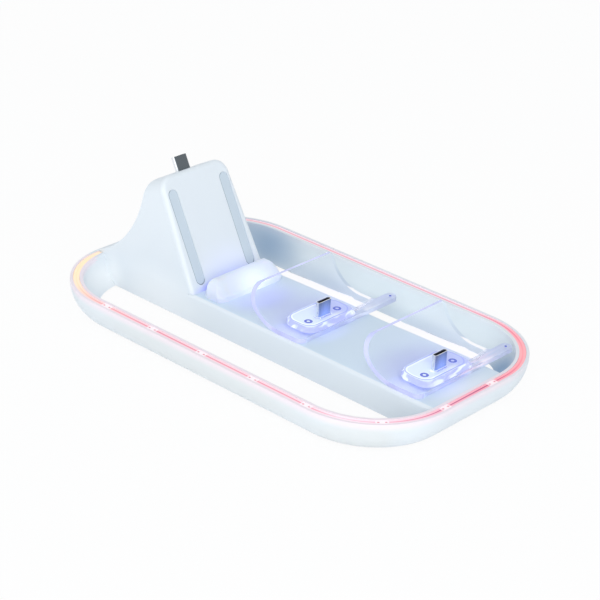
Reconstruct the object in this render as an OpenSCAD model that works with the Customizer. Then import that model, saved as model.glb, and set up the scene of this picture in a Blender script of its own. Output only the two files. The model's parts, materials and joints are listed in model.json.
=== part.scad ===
// Charging dock for two hand controllers and one upright device.
// A leaning ring carries a central beam, which grows into a tower at the -X end.
// Millimetres, +X along the row of plugs, -Y to the front, z = 0 on the table.

/* [Ring] */
// Overall length, along the row of plugs
dock_l = 206; // [198:1:226]
// Overall width
dock_w = 122; // [116:1:136]
// Outer radius of the ring's corners, seen from above
corner_r = 40; // [36:1:44]
// Height of the ring, from its underside to its rim
ring_h = 13.7; // [13:0.1:17]
// Thickness of the ring at its rim
ring_t = 5.9; // [5.7:0.1:8]
// Thickness of the ring at its underside, measured level
ring_foot_t = 7.1; // [6.6:0.1:9]
// How far the ring leans inward between its rim and its underside
ring_lean = 6; // [4:0.1:7]
// How far the ring's walls bulge outward beyond that straight lean
ring_bulge = 1.8; // [0.6:0.1:2]
// Radius of the rim's two edges
rim_edge_r = 0.4; // [0.2:0.1:0.6]
// Wall on each side of the ring's hollow
ring_wall = 1.7; // [1.4:0.1:2]
// Roof of the ring's hollow, below the light groove
groove_floor = 1.4; // [1:0.1:2]

/* [Light strip] */
// Width of the light guide in the rim
guide_w = 2.7; // [2:0.1:2.9]
// Distance from the rim's outer edge to the light guide
guide_in = 1.45; // [1.2:0.05:1.6]
// Height of the light guide
guide_h = 2; // [1.5:0.1:2.6]
// How far the light guide lies below the rim
guide_drop = 0.3; // [0:0.1:0.8]
// Distance between two lights, along the strip
light_pitch = 29.6; // [15:0.2:40]
// Height of one light
light_h = 0.7; // [0.4:0.1:1]
// Thickness of the flexible circuit under the lights
flex_t = 0.3; // [0.15:0.05:0.5]

/* [Beam] */
// Width of the beam and of the tower
beam_w = 46; // [42:1:52]
// How far the deck lies below the rim
deck_drop = 0.3; // [0:0.1:1]
// Thickness of the deck
deck_t = 2.2; // [1.6:0.1:3]
// Thickness of the beam's and the tower's side walls
side_t = 2; // [1.5:0.1:3]
// Radius of the beam's long top edges
deck_edge_r = 1.8; // [0.5:0.1:2]

/* [Tower] */
// Distance from the ring's end to the foot of the face
tower_l = 63.5; // [58:0.5:72]
// Length of the sloping face, from the deck up
face_h = 53.5; // [48:0.5:66]
// Backward tilt of the face, in degrees
face_tilt = 28; // [22:1:32]
// Radius of the face's top corners
face_corner_r = 7; // [3:0.5:10]
// Depth of the tower's top, from the face to the back
tower_top_l = 13; // [12.5:0.5:18]
// Slope of the hollow back where it leaves the rim, in degrees
back_rise = 21.5; // [14:0.5:30]
// How far behind the rim's outer edge the back starts
back_in = 0.6; // [0.5:0.1:1]
// Radius between the tower's top and its back
shoulder_r = 4; // [3:0.5:6]
// How much the tower's sides close in over its height, in degrees from upright
side_taper = 3.5; // [0.5:0.5:5]
// Thickness of the tower's top wall
tower_top_t = 2.2; // [1.6:0.1:3]
// Thickness of the tower's front wall, behind the panel
tower_web = 1.4; // [1.2:0.1:2.4]

/* [Face panel] */
// Thickness of the panel
panel_t = 2.6; // [2.2:0.1:3.4]
// Radius of the panel's rounded front edge
panel_edge_r = 2; // [0.5:0.1:2.2]
// Diameter of the panel's locating pins
panel_pin_d = 2.4; // [1.6:0.1:3]
// Length of the grip pads
pad_l = 44; // [30:1:46]
// Width of the grip pads
pad_w = 5.2; // [3:0.1:8]
// Distance between the pads' centre lines
pad_gap = 31.6; // [24:0.2:33]
// Height of the pads' lower end above the deck, along the face
pad_low = 3; // [2.5:0.5:5]
// Depth of the pockets that hold the pads
pad_pocket = 1.3; // [0.8:0.1:1.5]
// Thickness of the pads
pad_t = 1; // [0.6:0.1:1.3]

/* [Rest block] */
// Length of the block, across the beam
rest_l = 40; // [30:1:42]
// Width of the block at its base
rest_w = 12.6; // [10:0.2:15]
// Height of the block
rest_h = 8.4; // [6:0.1:11]
// Radius of the block's crown
rest_crown_r = 3.4; // [2:0.1:4.5]
// Radius of the block's upper ends
rest_end_r = 5.5; // [3:0.5:6]
// Gap between the face's foot and the block
rest_gap = 2.2; // [1.5:0.1:5]
// Diameter of the pegs that hold the block
peg_d = 3; // [2:0.1:4]
// Distance between those pegs
peg_pitch = 26; // [20:1:30]
// Length of the deck kept for the block, before the cradles' equal shares
rest_room = 13.5; // [10:0.5:16]

/* [Cradles] */
// Distance from the ring's end to the second plug
last_plug_in = 21.5; // [20:0.5:30]
// Thickness of the clear sheet
sheet_t = 2.1; // [1.6:0.1:3]
// Inner radius of the sheet's sweep
sweep_r = 19; // [16:0.5:22]
// Angle that the sweep turns through, in degrees
sweep_turn = 75; // [50:1:80]
// How far the sweep starts to the left of the plug
sweep_out = 5; // [3:0.5:7]
// Radius of the sheet's upper front corner
sheet_corner_r = 10; // [4:0.5:14]
// How far the sheet stays back from the front of the beam
sheet_in = 1; // [0:0.5:3]
// How far the sheet overhangs the back of the beam
sheet_over = 8.5; // [0:0.5:12]
// Distance from the plug to the sheet's low edge
sheet_right = 7.6; // [7.2:0.1:10]
// Radius of the sheet's low front corner
sheet_foot_r = 3.5; // [1:0.5:5]
// Width of the flat tongue along the sheet's low edge
tongue_w = 5.4; // [4:0.1:7]
// How far the tongue overhangs the back of the beam
tongue_over = 19; // [14:0.5:22]
// Diameter of the hole near the tongue's end
tongue_hole_d = 1.2; // [0.8:0.1:2.4]
// Radius of the corner between the sheet's rear edge and the tongue
tongue_root_r = 1.6; // [0.5:0.1:3]
// Width of the plateau round the plug
boss_w = 15.5; // [15:0.1:16]
// Length of the plateau
boss_l = 29; // [27:0.5:31]
// How far the plateau's middle lies to the left of the plug
boss_left = 2.55; // [2.2:0.05:2.8]
// How far the plateau's middle lies behind the plug
boss_back = 0.5; // [0:0.1:1]
// Height of the plateau above the deck
boss_h = 4.1; // [3.6:0.1:6]
// Radius of the plateau's left corners
boss_left_r = 6.5; // [4:0.5:7]
// Radius of the plateau's right corners
boss_right_r = 3.2; // [2:0.1:5]
// How far the plateau's slanted sides spread down to the sheet
boss_spread = 1.75; // [1:0.05:2]

/* [Plugs] */
// Width of a plug's shell
shell_w = 8.25; // [8.2:0.05:8.35]
// Thickness of a plug's shell
shell_d = 2.4; // [2.35:0.05:2.45]
// Wall of a plug's shell
shell_wall = 0.3; // [0.2:0.05:0.4]
// Length of the shell that stands free
shell_out = 6.65; // [6.2:0.05:7]
// Width of the slot in the plug's insert
slot_w = 6.8; // [6.7:0.05:6.9]
// Height of the slot in the plug's insert
slot_h = 0.9; // [0.8:0.05:1]

/* [Boards and screws] */
// Thickness of the small circuit boards
board_t = 1.2; // [0.8:0.1:1.6]
// Thickness of the main circuit board
main_t = 1.6; // [1.2:0.1:1.6]
// Length of the main circuit board
main_l = 38; // [30:1:42]
// Width of the main circuit board
main_w = 30; // [26:1:31]
// Height of the posts under the main circuit board
main_post_h = 2; // [1.5:0.1:3]
// Height of the spacers under the deck and the tower's top
spacer_h = 1.6; // [1:0.1:2.5]
// Length of the plug boards
plug_board_l = 26; // [25:0.5:30]
// Width of the plug boards
plug_board_w = 12; // [10:0.5:14]
// Distance between the screws beside each plug
screw_pitch = 18.4; // [16.5:0.1:20]
// Diameter of the screws' shanks
screw_d = 2.6; // [2:0.1:2.8]
// Diameter of the screws' heads
head_d = 4.8; // [4:0.1:5]
// Height of the screws' heads
head_h = 1.3; // [1:0.1:1.6]
// Outer diameter of the posts and spacers
post_d = 5.6; // [5:0.1:6.4]
// Clearance between the tower's front wall and the screws of its board
board_clear = 0.6; // [0.4:0.1:1.2]
// Distance from the main board's inner end to its ribbon sockets
socket_in = 5; // [4:0.5:6]
// Distance from the main board's inner end to the socket of the tower's ribbon
tower_socket_in = 10; // [9:0.5:14]
// Width of the charge controller
chip_w = 8; // [5:0.5:9]
// Height of the charge controller
chip_h = 1.1; // [0.8:0.1:1.5]
// Width of the coil
coil_w = 6; // [4:0.5:7]
// Height of the coil
coil_h = 3; // [2:0.1:4]
// Thickness of the ribbon cables
ribbon_t = 0.3; // [0.2:0.05:0.5]
// Width of the ribbon cables
ribbon_w = 5; // [3:0.5:6]

/* [Cover and feet] */
// Thickness of the bottom cover
cover_t = 2; // [1.6:0.1:2.6]
// Distance from the face's foot to the cover screws in the tower
cover_screw_in = 12; // [9:0.5:20]
// Height of the feet below the cover
foot_h = 1; // [0.6:0.1:2]
// Depth of the pockets that hold the feet
foot_pocket = 0.6; // [0.4:0.1:0.8]
// Length of the feet under the ring
foot_l = 24; // [12:1:40]
// Width of the feet under the ring
foot_w = 3; // [2:0.1:3.2]
// Distance from the ring's end to the middle of its feet
foot_in = 57; // [52:1:80]
// Diameter of the round feet under the beam
round_foot_d = 11; // [8:0.5:13]
// Distance from the ring's end to the round feet
round_foot_in = 41.5; // [36:0.5:46]
// Clearance between pieces that fit together
fit = 0.1; // [0.05:0.05:0.2]

/* [Power inlet] */
// Width of the inlet's shell
inlet_w = 8.94; // [8.9:0.02:9]
// Height of the inlet's shell
inlet_h = 3.26; // [3.2:0.02:3.3]
// Depth of the inlet's shell
inlet_l = 7.35; // [7:0.05:10]

/* [Hidden] */

// Overshoot of cuts past the surfaces that they open
over = 1;
// Steps in a small fillet and in a long curve
fillet_steps = 6;
curve_steps = 20;
wall_steps = 10;

// Levels, from the table up
under_z = foot_h;
rim_z = under_z + ring_h;
cover_z = under_z + cover_t;
deck_z = rim_z - deck_drop;
deck_under_z = deck_z - deck_t;
plug_board_z = deck_under_z - spacer_h - board_t;
main_z = cover_z + main_post_h;

// Plan
half_l = dock_l / 2;
half_w = dock_w / 2;
foot_x = tower_l - half_l;
plug_pitch = (half_l - foot_x - rest_room) / 2;
plug_2_x = half_l - last_plug_in;
plug_1_x = plug_2_x - plug_pitch;
round_foot_x = half_l - round_foot_in;

// Arc of the ring's outer face, from the rim down to the underside
chord = [ring_lean, -ring_h];
flare_r = (chord * chord / 4 + ring_bulge * ring_bulge) / (2 * ring_bulge);
flare_c = [ring_lean / 2, rim_z - ring_h / 2]
    + [ring_h, ring_lean] / norm(chord) * (flare_r - ring_bulge);
function flare_angle(z) = asin((flare_c[1] - z) / flare_r);
function flare(z) = flare_c[0] - flare_r * cos(flare_angle(z));

// Points of the ring's section: s is the level distance in from the outer face,
// or out from the inner face
function band(s, z) = [s + flare(z), z];
function inner(s, z) = [ring_t + flare(z) * (1 + (ring_foot_t - ring_t) / ring_lean) - s, z];

// Heights from z0 to z1, at equal turns of the ring's curved walls
function levels(z0, z1, n) =
    let (a0 = flare_angle(z0), a1 = flare_angle(z1))
    [for (i = [0:n]) i == 0 ? z0 : i == n ? z1 : flare_c[1] - flare_r * sin(a0 + (a1 - a0) * i / n)];

// Level insets, from the ring's outer edge at the rim
cover_out_in = ring_wall + ring_lean + 3 * fit;
foot_out_in = (cover_out_in + inner(0, under_z + foot_pocket)[0]) / 2;

// Depths in the rim
groove_w = guide_w + 2 * fit;
flex_depth = guide_drop + guide_h + light_h + 2 * fit;
groove_depth = flex_depth + flex_t;
groove_lean = flare(rim_z - groove_depth) / groove_depth;

// Point in the groove: s is the distance in from the rim's outer edge
function groove(s, z) = [s + (rim_z - z) * groove_lean, z];

// Points on an arc from angle a0 to angle a1
function arc(c, r, a0, a1, steps) =
    [for (i = [0:steps]) let (a = a0 + (a1 - a0) * i / steps) c + r * [cos(a), sin(a)]];

function direction(v) = atan2(v[1], v[0]);

// Outline of a rectangle whose four corners have the radii r = [left low, right low, right high, left high]
function rounded_box(x0, x1, y0, y1, r) = concat(
    arc([x0 + r[0], y0 + r[0]], r[0], 180, 270, fillet_steps),
    arc([x1 - r[1], y0 + r[1]], r[1], 270, 360, fillet_steps),
    arc([x1 - r[2], y1 - r[2]], r[2], 0, 90, fillet_steps),
    arc([x0 + r[3], y1 - r[3]], r[3], 90, 180, fillet_steps)
);

// Place at a distance d along the ring, from the middle of its -X end round by the front: [x, y, turn]
function quarter_at(d, inset) =
    let (a = half_w - corner_r, b = half_l - corner_r, r = corner_r - inset, q = r * PI / 2)
    d < a ? [-b - r, -d, 0]
    : d < a + q ? let (t = (d - a) / r * 180 / PI) [-b - r * cos(t), -a - r * sin(t), t]
    : [-b + d - a - q, -a - r, 90];
function quarter_l(inset) = half_w + half_l - 2 * corner_r + (corner_r - inset) * PI / 2;
function ring_at(d, inset) =
    let (q = quarter_l(inset), k = floor(d / q), p = quarter_at(k % 2 == 0 ? d - k * q : (k + 1) * q - d, inset))
    [(k == 1 || k == 2) ? -p[0] : p[0], k >= 2 ? -p[1] : p[1], (k % 2 == 0) ? p[2] : -p[2]];

// Tower profile in the XZ plane
up = [-sin(face_tilt), cos(face_tilt)];
back = [-cos(face_tilt), -sin(face_tilt)];
face_foot = [foot_x, deck_z];
back_start = [-half_l + back_in, rim_z];
// The hollow back leaves the rim at its slope and runs into the shoulder
shoulder_c = face_foot + up * (face_h - shoulder_r) + back * (tower_top_l - shoulder_r);
back_normal = [-sin(back_rise), cos(back_rise)];
back_span = shoulder_c - back_start;
back_r = (back_span * back_span - shoulder_r * shoulder_r) / (2 * (back_span * back_normal + shoulder_r));
back_c = back_start + back_r * back_normal;
// Foot of the tower's walls inside the ring
root_z = rim_z - groove_depth - groove_floor;

// First crossing of the line p + t * back with the circle c, r
function line_hit(p, c, r) =
    let (q = p - c, h = q * back) -h - sqrt(h * h - q * q + r * r);

// Top and back of the tower, from the face over the shoulder and down to the rim,
// for a surface that lies skin inside the outer one, and face_skin behind the face
function crest(skin, face_skin, top_skin, end_a) =
    let (
        front = face_foot + up * (face_h - top_skin) + back * face_skin,
        rs = shoulder_r - skin / 2,
        rb = back_r + skin,
        lane = face_foot + up * (face_h - top_skin - rs),
        c = lane + back * line_hit(lane, back_c, rb + rs)
    )
    concat(
        [front],
        arc(c, rs, direction(up), direction(back_c - c) + (direction(back_c - c) < 0 ? 360 : 0), fillet_steps),
        arc(back_c, rb, direction(c - back_c), end_a, curve_steps)
    );

// 2D and sweep helpers

module stadium(l, w) {
    square([w, l - w], center = true);
    for (s = [-1, 1]) {
        translate([0, s * (l - w) / 2]) circle(d = w, $fn = 48);
    }
}

// Extrudes an XZ outline along Y, from y0 to y1
module along_y(y0, y1) {
    translate([0, y1, 0]) rotate([90, 0, 0]) linear_extrude(y1 - y0) children();
}

// Extrudes a YZ outline along X, from x0 to x1
module along_x(x0, x1) {
    translate([x0, 0, 0]) rotate([90, 0, 90]) linear_extrude(x1 - x0) children();
}

// Sweeps a section, drawn as inset and height, right round the ring
module round_the_ring() {
    straight_l = [2 * (half_w - corner_r), 2 * (half_l - corner_r)];
    reach = [half_l, half_w];
    for (q = [0:3]) {
        side = q % 2;
        centre = [
            (q == 0 || q == 3 ? 1 : -1) * (half_l - corner_r),
            (q < 2 ? 1 : -1) * (half_w - corner_r)
        ];
        translate(centre) rotate(q * 90) rotate_extrude(angle = 90, $fn = 96) {
            translate([corner_r, 0]) mirror([1, 0]) children();
        }
        rotate(q * 90) translate([reach[side], 0, 0]) rotate([90, 0, 0]) {
            linear_extrude(straight_l[side], center = true) mirror([1, 0]) children();
        }
    }
}

// Frame of the tower's face: x out of the face, z up along it, origin at its foot
module on_face() {
    translate([face_foot[0], 0, face_foot[1]]) rotate([0, -face_tilt, 0]) children();
}

// Half width of the tower's face at a height h along it
face_slope = tan(side_taper) * cos(face_tilt);
function face_side(h) = beam_w / 2 - h * face_slope;

// Centre of a circle of radius r that touches the face's side at a height h
function beside(h, r) = face_side(h) - r * sqrt(1 + face_slope * face_slope);

// Outline of the tower seen square to its face, its low part wider than the sides
module face_outline(inset) {
    r = face_corner_r - inset;
    h = face_h - face_corner_r;
    y = beside(h, face_corner_r);
    turn = atan(2 * face_slope);
    low_y = y + r / cos(turn) + (h + dock_l) * tan(turn);
    polygon(concat(
        [[-low_y, -dock_l], [low_y, -dock_l]],
        arc([y, h], r, turn, 90, 2 * fillet_steps),
        arc([-y, h], r, 90, 180 - turn, 2 * fillet_steps)
    ));
}

// YZ outline of the beam's sides and of the tower's tapered sides above the deck
module tower_sides(inset) {
    y = beam_w / 2 - inset;
    top = y - dock_w / 2 * tan(side_taper);
    polygon([
        [-y, -over], [y, -over], [y, deck_z], [top, deck_z + dock_w / 2],
        [-top, deck_z + dock_w / 2], [-y, deck_z]
    ]);
}

// Housing: ring, beam and tower, moulded in one

module ring_section() {
    edge_z = rim_z - rim_edge_r;
    groove_out = guide_in - fit;
    outer_edge = arc([rim_edge_r, edge_z], rim_edge_r, 90, 180, 3);
    inner_edge = arc([ring_t - rim_edge_r, edge_z], rim_edge_r, 0, 90, 3);
    polygon(concat(
        [for (i = [0:2]) outer_edge[i]],
        [for (z = levels(edge_z, under_z, wall_steps)) band(0, z)],
        [for (z = levels(under_z, root_z, wall_steps / 2)) band(ring_wall, z)],
        [for (z = levels(root_z, cover_z, wall_steps / 2)) inner(ring_wall, z)],
        [for (z = levels(cover_z, edge_z, wall_steps)) inner(0, z)],
        [for (i = [1:3]) inner_edge[i]],
        [
            groove(groove_out + groove_w, rim_z), groove(groove_out + groove_w, rim_z - groove_depth),
            groove(groove_out, rim_z - groove_depth), groove(groove_out, rim_z)
        ]
    ));
}

// XZ outline of the beam, its ends a distance s inside the ring's inner wall
// and its feet clear of the cover
module beam_side(s, low, high) {
    right = concat(
        [for (z = levels(low, cover_z, wall_steps / 2)) inner(-2 * fit, z)],
        [for (z = levels(cover_z, high, wall_steps)) inner(s, z)]
    );
    n = len(right);
    polygon(concat(
        [for (p = right) [half_l - p[0], p[1]]],
        [for (i = [n - 1:-1:0]) [right[i][0] - half_l, right[i][1]]]
    ));
}

module beam_solid() {
    intersection() {
        along_y(-beam_w / 2, beam_w / 2) beam_side(ring_wall / 2, under_z, deck_z);
        along_x(-half_l, half_l) polygon(rounded_box(
            -beam_w / 2, beam_w / 2, 0, deck_z, [0, 0, deck_edge_r, deck_edge_r]
        ));
    }
}

module beam_hollow() {
    inside = beam_w / 2 - side_t;
    end_x = half_l - inner(0, cover_z)[0];
    along_y(-inside, inside) {
        beam_side(0, cover_z, deck_under_z);
        translate([-end_x, under_z - over]) square([2 * end_x, cover_t + over]);
    }
}

module tower_solid() {
    root = [-half_l + band(back_in, root_z)[0], root_z];
    web_foot = [foot_x - panel_t / cos(face_tilt), deck_z];
    intersection() {
        along_y(-beam_w / 2, beam_w / 2) polygon(concat(
            [root, [web_foot[0], root_z], web_foot],
            crest(0, panel_t, 0, direction(back_start - back_c))
        ));
        on_face() along_x(-dock_w, dock_w) face_outline(0);
        along_x(-dock_l, dock_l) tower_sides(0);
    }
}

module tower_hollow() {
    // The hollow's back ends where it meets the ring's outer wall
    end_a = direction(back_start + [side_t, -side_t / 2] - back_c);
    web_back = foot_x - (panel_t + tower_web) / cos(face_tilt);
    wall_z = rim_z - side_t;
    intersection() {
        along_y(-beam_w / 2, beam_w / 2) polygon(concat(
            [[web_back, under_z - over], [web_back, deck_z]],
            crest(side_t, panel_t + tower_web, tower_top_t, end_a),
            [for (z = levels(wall_z, under_z, wall_steps / 2)) [band(ring_wall, z)[0] - half_l, z]],
            [[band(ring_wall, under_z)[0] - half_l, under_z - over]]
        ));
        on_face() along_x(-dock_w, dock_w) face_outline(side_t);
        along_x(-dock_l, dock_l) tower_sides(side_t);
    }
    // Window in the front wall, through which the boards and the cable go in
    window_w = pad_gap - pad_w;
    on_face() translate([-panel_t - tower_web - over, -window_w / 2, pad_low]) {
        cube([tower_web + 2 * over, window_w, face_h - 3 * pad_low - face_corner_r]);
    }
}

module post(top, low) {
    translate([0, 0, low]) cylinder(h = top - low, d = post_d, $fn = 48);
}

module at_plugs() {
    for (x = [plug_1_x, plug_2_x]) {
        translate([x, 0, 0]) children();
    }
}

module at_screws() {
    for (s = [-1, 1]) {
        translate([0, s * screw_pitch / 2, 0]) children();
    }
}

// Screws through the cover: one pair in the tower's foot and two midway between the plugs' places
module at_cover_screws() {
    edge = beam_w / 2 - side_t - post_d / 2 + fit;
    for (x = [foot_x - cover_screw_in, plug_1_x - plug_pitch / 2, plug_1_x + plug_pitch / 2], s = [-1, 1]) {
        translate([x, s * edge, 0]) children();
    }
}

module housing_posts() {
    at_plugs() at_screws() post(deck_under_z + fit, deck_under_z - spacer_h);
    at_cover_screws() post(deck_under_z + fit, cover_z);
    on_face() translate([-tower_plug_in, 0, 0]) at_screws() {
        post(face_h - tower_top_t + fit, face_h - tower_top_t - spacer_h);
    }
}

// Slots and holes for the plugs, their lights, the pegs, the screws and the inlet
module housing_holes() {
    hole_w = shell_w + 4 * fit;
    hole_d = shell_d + 4 * fit;
    light_w = screw_pitch - post_d - 2 * fit;
    light_d = plug_board_w - 5;
    at_plugs() translate([-light_d / 2, -light_w / 2, deck_under_z - over]) {
        cube([light_d, light_w, deck_t + 2 * over]);
    }
    at_plugs() at_screws() translate([0, 0, deck_under_z - spacer_h - over]) {
        cylinder(h = deck_t + spacer_h + 2 * over, d = screw_d + 2 * fit, $fn = 32);
    }
    on_face() translate([-tower_plug_in, 0, face_h - tower_top_t - over]) {
        linear_extrude(tower_top_t + 2 * over) stadium(hole_w, hole_d);
    }
    on_face() translate([-tower_plug_in, 0, face_h - tower_top_t - spacer_h - over]) at_screws() {
        cylinder(h = spacer_h + over, d = screw_d, $fn = 32);
    }
    at_cover_screws() translate([0, 0, cover_z - over]) {
        cylinder(h = cover_screw_l + over, d = screw_d, $fn = 32);
    }
    at_panel_pins() cylinder(h = tower_web + 2 * over, d = panel_pin_d + 2 * fit, $fn = 32);
    at_pegs() translate([0, 0, deck_under_z - over]) {
        cylinder(h = deck_t + 2 * over, d = peg_d + 2 * fit, $fn = 32);
    }
    translate([rest_light_x - rest_light_w / 2, -rest_light_l / 2, deck_under_z - over]) {
        cube([rest_light_w, rest_light_l, deck_t + 2 * over]);
    }
    at_inlet() translate([0, 0, -over]) linear_extrude(2 * ring_t + over) {
        stadium(inlet_w + 4 * fit, inlet_h + 4 * fit);
    }
}

module housing() {
    color([0.93, 0.95, 0.97]) difference() {
        union() {
            difference() {
                union() {
                    round_the_ring() ring_section();
                    beam_solid();
                    tower_solid();
                }
                beam_hollow();
                tower_hollow();
            }
            housing_posts();
        }
        housing_holes();
    }
}

// Bottom cover: closes the ring, the beam and the tower from below

cover_screw_l = 5;

module at_feet() {
    for (sx = [-1, 1], sy = [-1, 1]) {
        translate([sx * (half_l - foot_in), sy * (half_w - foot_out_in), 0]) children();
    }
}

module at_round_feet() {
    for (s = [-1, 1]) {
        translate([s * round_foot_x, 0, 0]) children();
    }
}

module at_main_posts() {
    inset = post_d / 2 + fit;
    for (sx = [0, 1], sy = [-1, 1]) {
        translate([main_x + inset + sx * (main_l - 2 * inset), sy * (main_w / 2 - inset), 0]) children();
    }
}

module cover_solid() {
    inside = beam_w / 2 - side_t - fit;
    end_x = half_l - foot_out_in;
    round_the_ring() polygon(concat(
        [[cover_out_in, under_z], [cover_out_in, cover_z]],
        [for (z = levels(cover_z, under_z, wall_steps / 2)) inner(0, z)]
    ));
    translate([-end_x, -inside, under_z]) cube([2 * end_x, 2 * inside, cover_t]);
    at_main_posts() post(main_z, cover_z - fit);
}

module bottom_cover() {
    color([0.86, 0.88, 0.90]) difference() {
        cover_solid();
        at_cover_screws() translate([0, 0, under_z - over]) {
            cylinder(h = cover_t + 2 * over, d = screw_d + 2 * fit, $fn = 32);
        }
        at_cover_screws() translate([0, 0, under_z - over]) {
            cylinder(h = over + head_h - fit, d = head_d + 4 * fit, $fn = 32);
        }
        at_main_posts() translate([0, 0, cover_z - cover_t / 2]) {
            cylinder(h = main_post_h + cover_t, d = screw_d, $fn = 32);
        }
        at_feet() translate([0, 0, under_z - over]) rotate(90) {
            linear_extrude(foot_pocket + over) stadium(foot_l + 2 * fit, foot_w + 2 * fit);
        }
        at_round_feet() translate([0, 0, under_z - over]) {
            cylinder(h = foot_pocket + over, d = round_foot_d + 2 * fit, $fn = 64);
        }
    }
}

// Panel and pads on the tower's face

module at_panel_pins() {
    y = (pad_gap + pad_w) / 2 - panel_pin_d / 2;
    for (s = [-1, 1], z = [pad_low + 5, face_h - 2 * pad_low - face_corner_r]) {
        on_face() translate([-panel_t - tower_web - fit, s * y, z]) rotate([0, 90, 0]) children();
    }
}

// One rounded corner of the panel, as a disc with a rounded front edge
module panel_corner() {
    rotate([0, 90, 0]) translate([0, 0, -panel_t]) rotate_extrude($fn = 64) polygon(concat(
        [[0, 0], [face_corner_r, 0]],
        arc([face_corner_r - panel_edge_r, panel_t - panel_edge_r], panel_edge_r, 0, 90, fillet_steps),
        [[0, panel_t]]
    ));
}

module panel_plate() {
    hull() {
        for (s = [-1, 1], z = [-2 * face_corner_r, face_h - face_corner_r]) {
            translate([0, s * beside(z, face_corner_r), z]) panel_corner();
        }
    }
}

module pad_shape(s, thick, grow) {
    on_face() translate([-pad_pocket, s * pad_gap / 2, pad_low + pad_l / 2]) {
        rotate([90, 0, 90]) linear_extrude(thick) stadium(pad_l + 2 * grow, pad_w + 2 * grow);
    }
}

module tower_panel() {
    color([0.95, 0.96, 0.98]) difference() {
        union() {
            intersection() {
                on_face() panel_plate();
                translate([-dock_l / 2, -dock_w / 2, deck_z]) cube([dock_l, dock_w, dock_l]);
            }
            at_panel_pins() cylinder(h = tower_web + 2 * fit, d = panel_pin_d, $fn = 32);
        }
        for (s = [-1, 1]) {
            pad_shape(s, pad_pocket + over, fit);
        }
    }
}

module grip_pad(s) {
    color([0.80, 0.85, 0.86]) pad_shape(s, pad_t, 0);
}

// Rest block on the deck, at the foot of the face

rest_x1 = foot_x + rest_gap + rest_w;
rest_x0 = foot_x + rest_gap;
peg_x = rest_x1 - rest_w / 3;
rest_light_x = rest_x0 + rest_w / 4;
rest_light_w = 2.4;
rest_light_l = peg_pitch - peg_d - 2;

module at_pegs() {
    for (s = [-1, 1]) {
        translate([peg_x, s * peg_pitch / 2, 0]) children();
    }
}

module rest_block() {
    crown = [rest_x0 + rest_crown_r + rest_w / 10, rest_h - rest_crown_r];
    toe_r = rest_crown_r / 2;
    color([0.88, 0.92, 1.0]) {
        translate([0, 0, deck_z]) intersection() {
            along_y(-rest_l / 2, rest_l / 2) polygon(concat(
                [[rest_x0, 0], [rest_x1, 0]],
                arc([rest_x1 - toe_r, toe_r], toe_r, 0, 50, fillet_steps),
                arc(crown, rest_crown_r, 50, 170, 2 * fillet_steps)
            ));
            along_x(rest_x0 - over, rest_x1 + over) polygon(rounded_box(
                -rest_l / 2, rest_l / 2, 0, rest_h, [0, 0, rest_end_r, rest_end_r]
            ));
        }
        at_pegs() translate([0, 0, deck_z - deck_t]) cylinder(h = deck_t + fit, d = peg_d, $fn = 32);
    }
}

// Light guide in the rim, and the flexible circuit with its lights below it

module strip_section(top, high) {
    polygon([
        groove(guide_in, rim_z - top), groove(guide_in, rim_z - top - high),
        groove(guide_in + guide_w, rim_z - top - high), groove(guide_in + guide_w, rim_z - top)
    ]);
}

// Room that the tower takes out of the strip
module tower_gap() {
    gap_w = beam_w + 2 * fit;
    translate([-half_l - over, -gap_w / 2, 0]) cube([corner_r, gap_w, dock_w]);
}

module light_guide() {
    color([1.0, 0.62, 0.66]) difference() {
        round_the_ring() strip_section(guide_drop, guide_h);
        tower_gap();
    }
}

module light_flex() {
    light_z = rim_z - flex_depth;
    inset = groove(guide_in + guide_w / 2, light_z)[0];
    start = beam_w / 2 + fit + light_pitch / 2;
    run = 4 * quarter_l(inset) - 2 * start;
    light_w = 1.6;
    color([0.90, 0.88, 0.80]) {
        difference() {
            round_the_ring() strip_section(flex_depth, flex_t);
            tower_gap();
        }
        for (i = [0:floor(run / light_pitch)]) {
            p = ring_at(start + i * light_pitch, inset);
            translate([p[0], p[1], light_z - flex_t / 2]) rotate(p[2]) {
                translate([-light_w / 2, -light_w, 0]) cube([light_w, 2 * light_w, light_h + flex_t / 2]);
            }
        }
    }
}

// Clear cradle: a swept sheet with a flat tongue, and a plateau round the plug

module cradle_sheet() {
    front = sheet_in - beam_w / 2;
    rear = beam_w / 2 + sheet_over;
    c = [-sweep_out, sheet_t + sweep_r];
    top = c[1] - sweep_r * cos(sweep_turn);
    left = c[0] - sweep_r - sheet_t;
    tongue_x = sheet_right - tongue_w;
    intersection() {
        along_y(front, beam_w / 2 + tongue_over) polygon(concat(
            arc(c, sweep_r, 270 - sweep_turn, 270, curve_steps),
            [[sheet_right, sheet_t], [sheet_right, 0]],
            arc(c, sweep_r + sheet_t, 270, 270 - sweep_turn, curve_steps)
        ));
        union() {
            along_x(left - over, sheet_right + over) polygon(rounded_box(
                front, rear, -over, top, [0, 0, sheet_t, sheet_corner_r]
            ));
            translate([tongue_x - tongue_root_r, front, 0]) {
                cube([tongue_w + tongue_root_r + over, beam_w + tongue_over + over, sheet_t]);
            }
        }
        linear_extrude(top + over) cradle_plan(left - over, front, rear);
    }
}

// Outline of the cradle seen from above
module cradle_plan(left, front, rear) {
    tongue_x = sheet_right - tongue_w;
    tip = beam_w / 2 + tongue_over - tongue_w / 2;
    root = [tongue_x - tongue_root_r, rear + tongue_root_r];
    polygon(concat(
        [[left, front]],
        arc([sheet_right - sheet_foot_r, front + sheet_foot_r], sheet_foot_r, 270, 360, fillet_steps),
        arc([sheet_right - tongue_w / 2, tip], tongue_w / 2, 0, 180, 3 * fillet_steps),
        arc(root, tongue_root_r, 0, -90, fillet_steps),
        [[left, rear]]
    ));
}

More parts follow.
